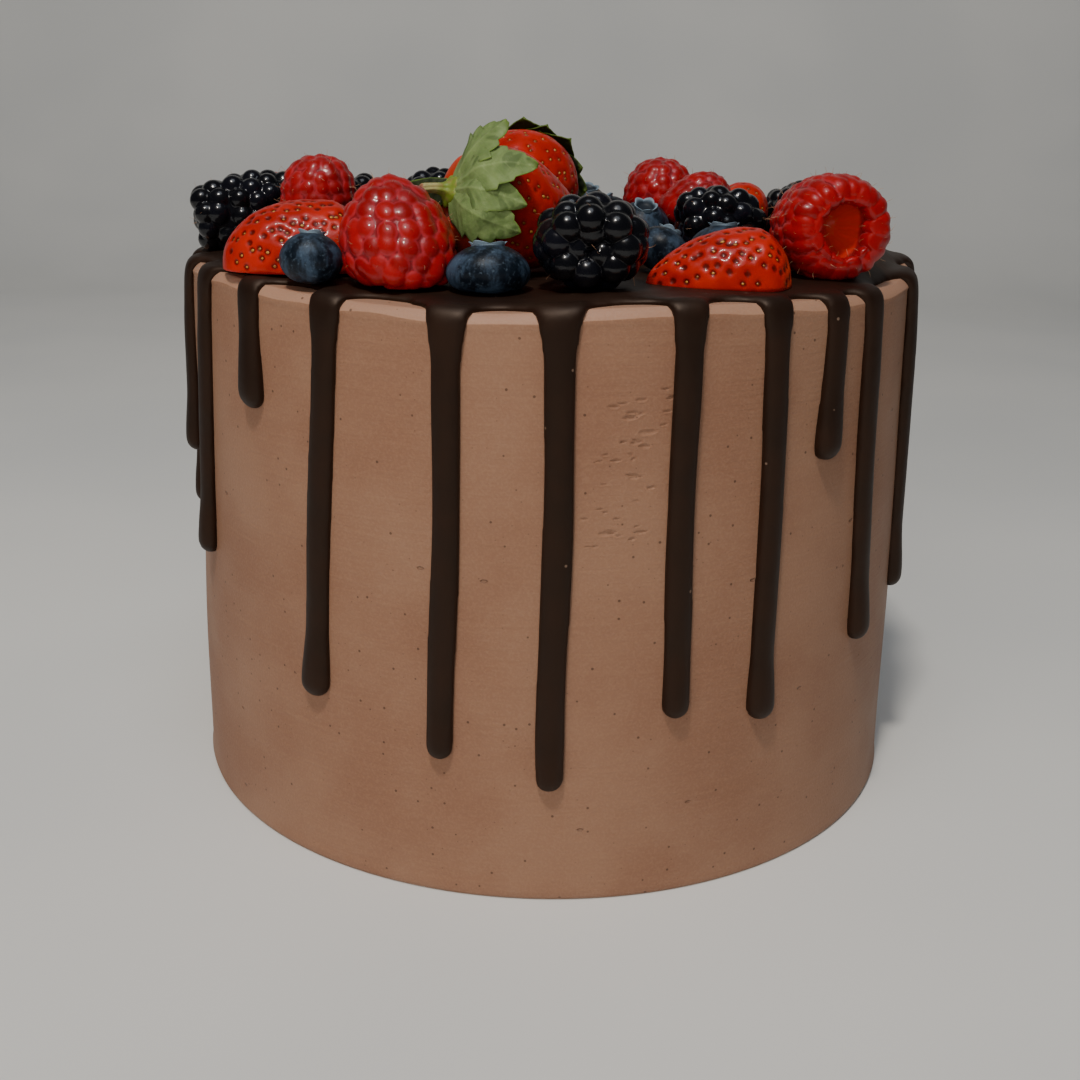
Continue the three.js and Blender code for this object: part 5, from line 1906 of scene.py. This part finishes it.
class DripCakeSizes(bpy.types.PropertyGroup):
    """The sizes of the cake's details"""

    coat_step: length_property("Coat step", "Distance between points round the coat", 2.0, 0.5)
    scoop_step: length_property("Scoop step", "Distance between points in the scoops", 0.25, 0.1)
    ganache_voxel: length_property("Ganache grain", "Steps that the ganache is joined in", 0.6, 0.2)
    raspberry_drupelet: length_property("Raspberry drupelet", "Distance between drupelets", 3.1, 1)
    bramble_drupelet: length_property("Bramble drupelet", "Distance between drupelets", 4.5, 1)
    skin_step: length_property("Skin step", "Distance between points on a berry's skin", 0.4, 0.1)


# Operators


class DRIPCAKE_OT_materials(bpy.types.Operator):
    """Makes the cake's finishes and the tree that sets seeds and hairs"""

    bl_idname = "dripcake.materials"
    bl_label = "Finishes"

    def execute(self, context):
        colours = context.scene.dripcake_colours
        for make in (
            buttercream_material,
            ganache_material,
            raspberry_material,
            bramble_material,
            blueberry_material,
            strawberry_material,
            seed_material,
            sepal_material,
        ):
            make(colours)
        hair_material()
        stem_material()
        scatter_tree()
        return {"FINISHED"}


class DRIPCAKE_OT_coat(bpy.types.Operator):
    """Builds the cake in its scraped buttercream coat"""

    bl_idname = "dripcake.coat"
    bl_label = "Buttercream coat"

    def execute(self, context):
        points, faces, values = coat_points(context.scene.dripcake_sizes)
        material = bpy.data.materials["chocolate_buttercream_scraped"]
        piece = new_object("buttercream_coat", points, faces, [material], values)
        finish_piece(piece, "cake")
        return {"FINISHED"}


class DRIPCAKE_OT_ganache(bpy.types.Operator):
    """Pours the ganache: the pool on top and every drip, run together"""

    bl_idname = "dripcake.ganache"
    bl_label = "Ganache"

    def execute(self, context):
        material = bpy.data.materials["dark_ganache_set"]
        rng = np.random.default_rng(RANDOM_SEEDS["drips"])
        points, faces = pool_points()
        piece = new_object("ganache_poured", points, faces, [material])
        for i, drip in enumerate(drip_list()):
            points, faces = drip_points(drip, rng)
            join_into(piece, new_object(f"drip_{i}", points, faces, [material]))
        run_together(piece, context.scene.dripcake_sizes.ganache_voxel)
        piece.data.materials.clear()
        piece.data.materials.append(material)
        piece.data.shade_smooth()
        finish_piece(piece, "ganache")
        return {"FINISHED"}


class DRIPCAKE_OT_drupelet_berries(bpy.types.Operator):
    """Builds the raspberries and the brambles, drupelet by drupelet"""

    bl_idname = "dripcake.drupelet_berries"
    bl_label = "Raspberries and brambles"

    def execute(self, context):
        sizes = context.scene.dripcake_sizes
        hair = hair_shape()
        for kind, places, drupelet, finish in (
            (RASPBERRY, RASPBERRIES, sizes.raspberry_drupelet / MM, "raspberry_flesh"),
            (BRAMBLE, BRAMBLES, sizes.bramble_drupelet / MM, "bramble_skin"),
        ):
            for i, place in enumerate(places):
                name = f"{kind.slot}_{i + 1}"
                step = sizes.skin_step / MM * (NEAR_STEP if i < NEAR_BERRIES else FAR_STEP)
                seed = RANDOM_SEEDS[kind.slot] + i
                build_drupelet_berry(name, place, kind, drupelet, finish, hair, step, seed)
        bpy.data.objects.remove(hair)
        return {"FINISHED"}


class DRIPCAKE_OT_blueberries(bpy.types.Operator):
    """Builds the blueberries with their crowns"""

    bl_idname = "dripcake.blueberries"
    bl_label = "Blueberries"

    def execute(self, context):
        material = bpy.data.materials["blueberry_skin_with_bloom"]
        for i, (x, y, width, height, heading, pitch) in enumerate(BLUEBERRIES):
            name = f"blueberry_{i + 1}"
            rng = np.random.default_rng(RANDOM_SEEDS["blueberry"] + i)
            points, faces, values = blueberry_points(width, height, rng)
            points, _ = stand(points, turned(heading, pitch), x, y, name)
            power = BLUEBERRY_SAG if width < BIG_BLUEBERRY else BIG_BLUEBERRY_SAG
            points = sagged(points, power)
            piece = new_object(name + "_skin", points, faces, [material], values)
            finish_piece(piece, name)
        return {"FINISHED"}


class DRIPCAKE_OT_strawberries(bpy.types.Operator):
    """Builds the whole and halved strawberries, their seeds and leaves"""

    bl_idname = "dripcake.strawberries"
    bl_label = "Strawberries"

    def execute(self, context):
        step = context.scene.dripcake_sizes.skin_step / MM
        shape = seed_shape()
        leaves = {0: SPREAD_LEAVES, 1: COLLAR_LEAVES}
        for i, (x, y, length, width, heading, pitch) in enumerate(STRAWBERRIES):
            name = f"strawberry_{i + 1}"
            turn = turned(heading, pitch)
            seed = RANDOM_SEEDS["strawberry"] + i
            skin = whole_strawberry(length, width, np.random.default_rng(seed), step)
            middle = build_strawberry(name, skin, WHOLE, turn, x, y, shape, seed)
            if i in leaves:
                seed = RANDOM_SEEDS["calyx"] + i
                build_calyx(name + "_calyx", leaves[i], turn, middle, length, seed)
        for i, (x, y, length, width, height, heading, blunt) in enumerate(STRAWBERRY_HALVES):
            name = f"strawberry_half_{i + 1}"
            turn = np.array(Matrix.Rotation(math.radians(heading), 3, "Z"))
            seed = RANDOM_SEEDS["strawberry_half"] + i
            rng = np.random.default_rng(seed)
            skin = half_strawberry(length, width, height, blunt, rng, step)
            build_strawberry(name, skin, HALF, turn, x, y, shape, seed)
        bpy.data.objects.remove(shape)
        return {"FINISHED"}


def build_floor():
    """A pale floor that bends up into a wall far behind the cake."""
    bend = np.linspace(0.1, 1.57, 14)
    bend_y = FLOOR_BACK + FLOOR_BEND * np.sin(bend)
    bend_z = FLOOR_BEND * (1 - np.cos(bend))
    profile = [(FLOOR_FRONT, 0.0), (FLOOR_BACK, 0.0), *zip(bend_y, bend_z)]
    profile.append((bend_y[-1], WALL_HEIGHT))
    points = [(side * FLOOR_HALF_WIDTH, y, z) for y, z in profile for side in (-1, 1)]
    faces = [(2 * i - 2, 2 * i - 1, 2 * i + 1, 2 * i) for i in range(1, len(profile))]
    floor = new_object("pale_floor", np.array(points), faces, [floor_material()])


def add_lamp(name, where, size, power, colour, in_reflections):
    """A round soft lamp, in metres and watts, that shines on the middle of the cake."""
    data = bpy.data.lights.new(name, "AREA")
    data.shape = "DISK"
    data.size = size
    data.energy = power
    data.color = linear(colour)[:3]
    lamp = bpy.data.objects.new(name, data)
    lamp.visible_glossy = in_reflections
    bpy.context.scene.collection.objects.link(lamp)
    aim = Vector((0, 0, LIT_HEIGHT)) - Vector(where)
    lamp.matrix_world = Matrix.LocRotScale(where, aim.to_track_quat("-Z", "Y"), None)


class DRIPCAKE_OT_studio(bpy.types.Operator):
    """Sets the pale floor, the soft lights and the camera"""

    bl_idname = "dripcake.studio"
    bl_label = "Studio"

    def execute(self, context):
        scene = context.scene
        build_floor()
        for lamp in LAMPS:
            add_lamp(*lamp)
        world = bpy.data.worlds.new("studio_air")
        world.use_nodes = True
        air = world.node_tree.nodes["Background"]
        air.inputs["Color"].default_value = linear(AIR_COLOUR)
        air.inputs["Strength"].default_value = AIR_STRENGTH
        scene.world = world

        lens = bpy.data.cameras.new("camera")
        lens.lens = CAMERA_LENS
        lens.sensor_width = CAMERA_SENSOR
        camera = bpy.data.objects.new("camera", lens)
        scene.collection.objects.link(camera)
        turn = Euler([math.radians(angle) for angle in CAMERA_TURN])
        camera.matrix_world = Matrix.LocRotScale(Vector(CAMERA_PLACE) * MM, turn, None)
        scene.camera = camera
        return {"FINISHED"}


class DRIPCAKE_PT_panel(bpy.types.Panel):
    """Lists the steps of the cake and its settings"""

    bl_idname = "DRIPCAKE_PT_panel"
    bl_label = "Drip cake"
    bl_space_type = "VIEW_3D"
    bl_region_type = "UI"
    bl_category = "Drip cake"

    def draw(self, context):
        for operator in OPERATORS:
            self.layout.operator(operator.bl_idname)
        for group in (context.scene.dripcake_sizes, context.scene.dripcake_colours):
            for key in group.__annotations__:
                self.layout.prop(group, key)


OPERATORS = (
    DRIPCAKE_OT_materials,
    DRIPCAKE_OT_coat,
    DRIPCAKE_OT_ganache,
    DRIPCAKE_OT_drupelet_berries,
    DRIPCAKE_OT_blueberries,
    DRIPCAKE_OT_strawberries,
    DRIPCAKE_OT_studio,
)
CLASSES = (DripCakeColours, DripCakeSizes, *OPERATORS, DRIPCAKE_PT_panel)


def register():
    for item in CLASSES:
        bpy.utils.register_class(item)
    bpy.types.Scene.dripcake_colours = PointerProperty(type=DripCakeColours)
    bpy.types.Scene.dripcake_sizes = PointerProperty(type=DripCakeSizes)


def unregister():
    del bpy.types.Scene.dripcake_sizes
    del bpy.types.Scene.dripcake_colours
    for item in reversed(CLASSES):
        bpy.utils.unregister_class(item)


def main():
    register()
    for operator in OPERATORS:
        group, step = operator.bl_idname.split(".")
        getattr(getattr(bpy.ops, group), step)()


if __name__ == "__main__":
    main()
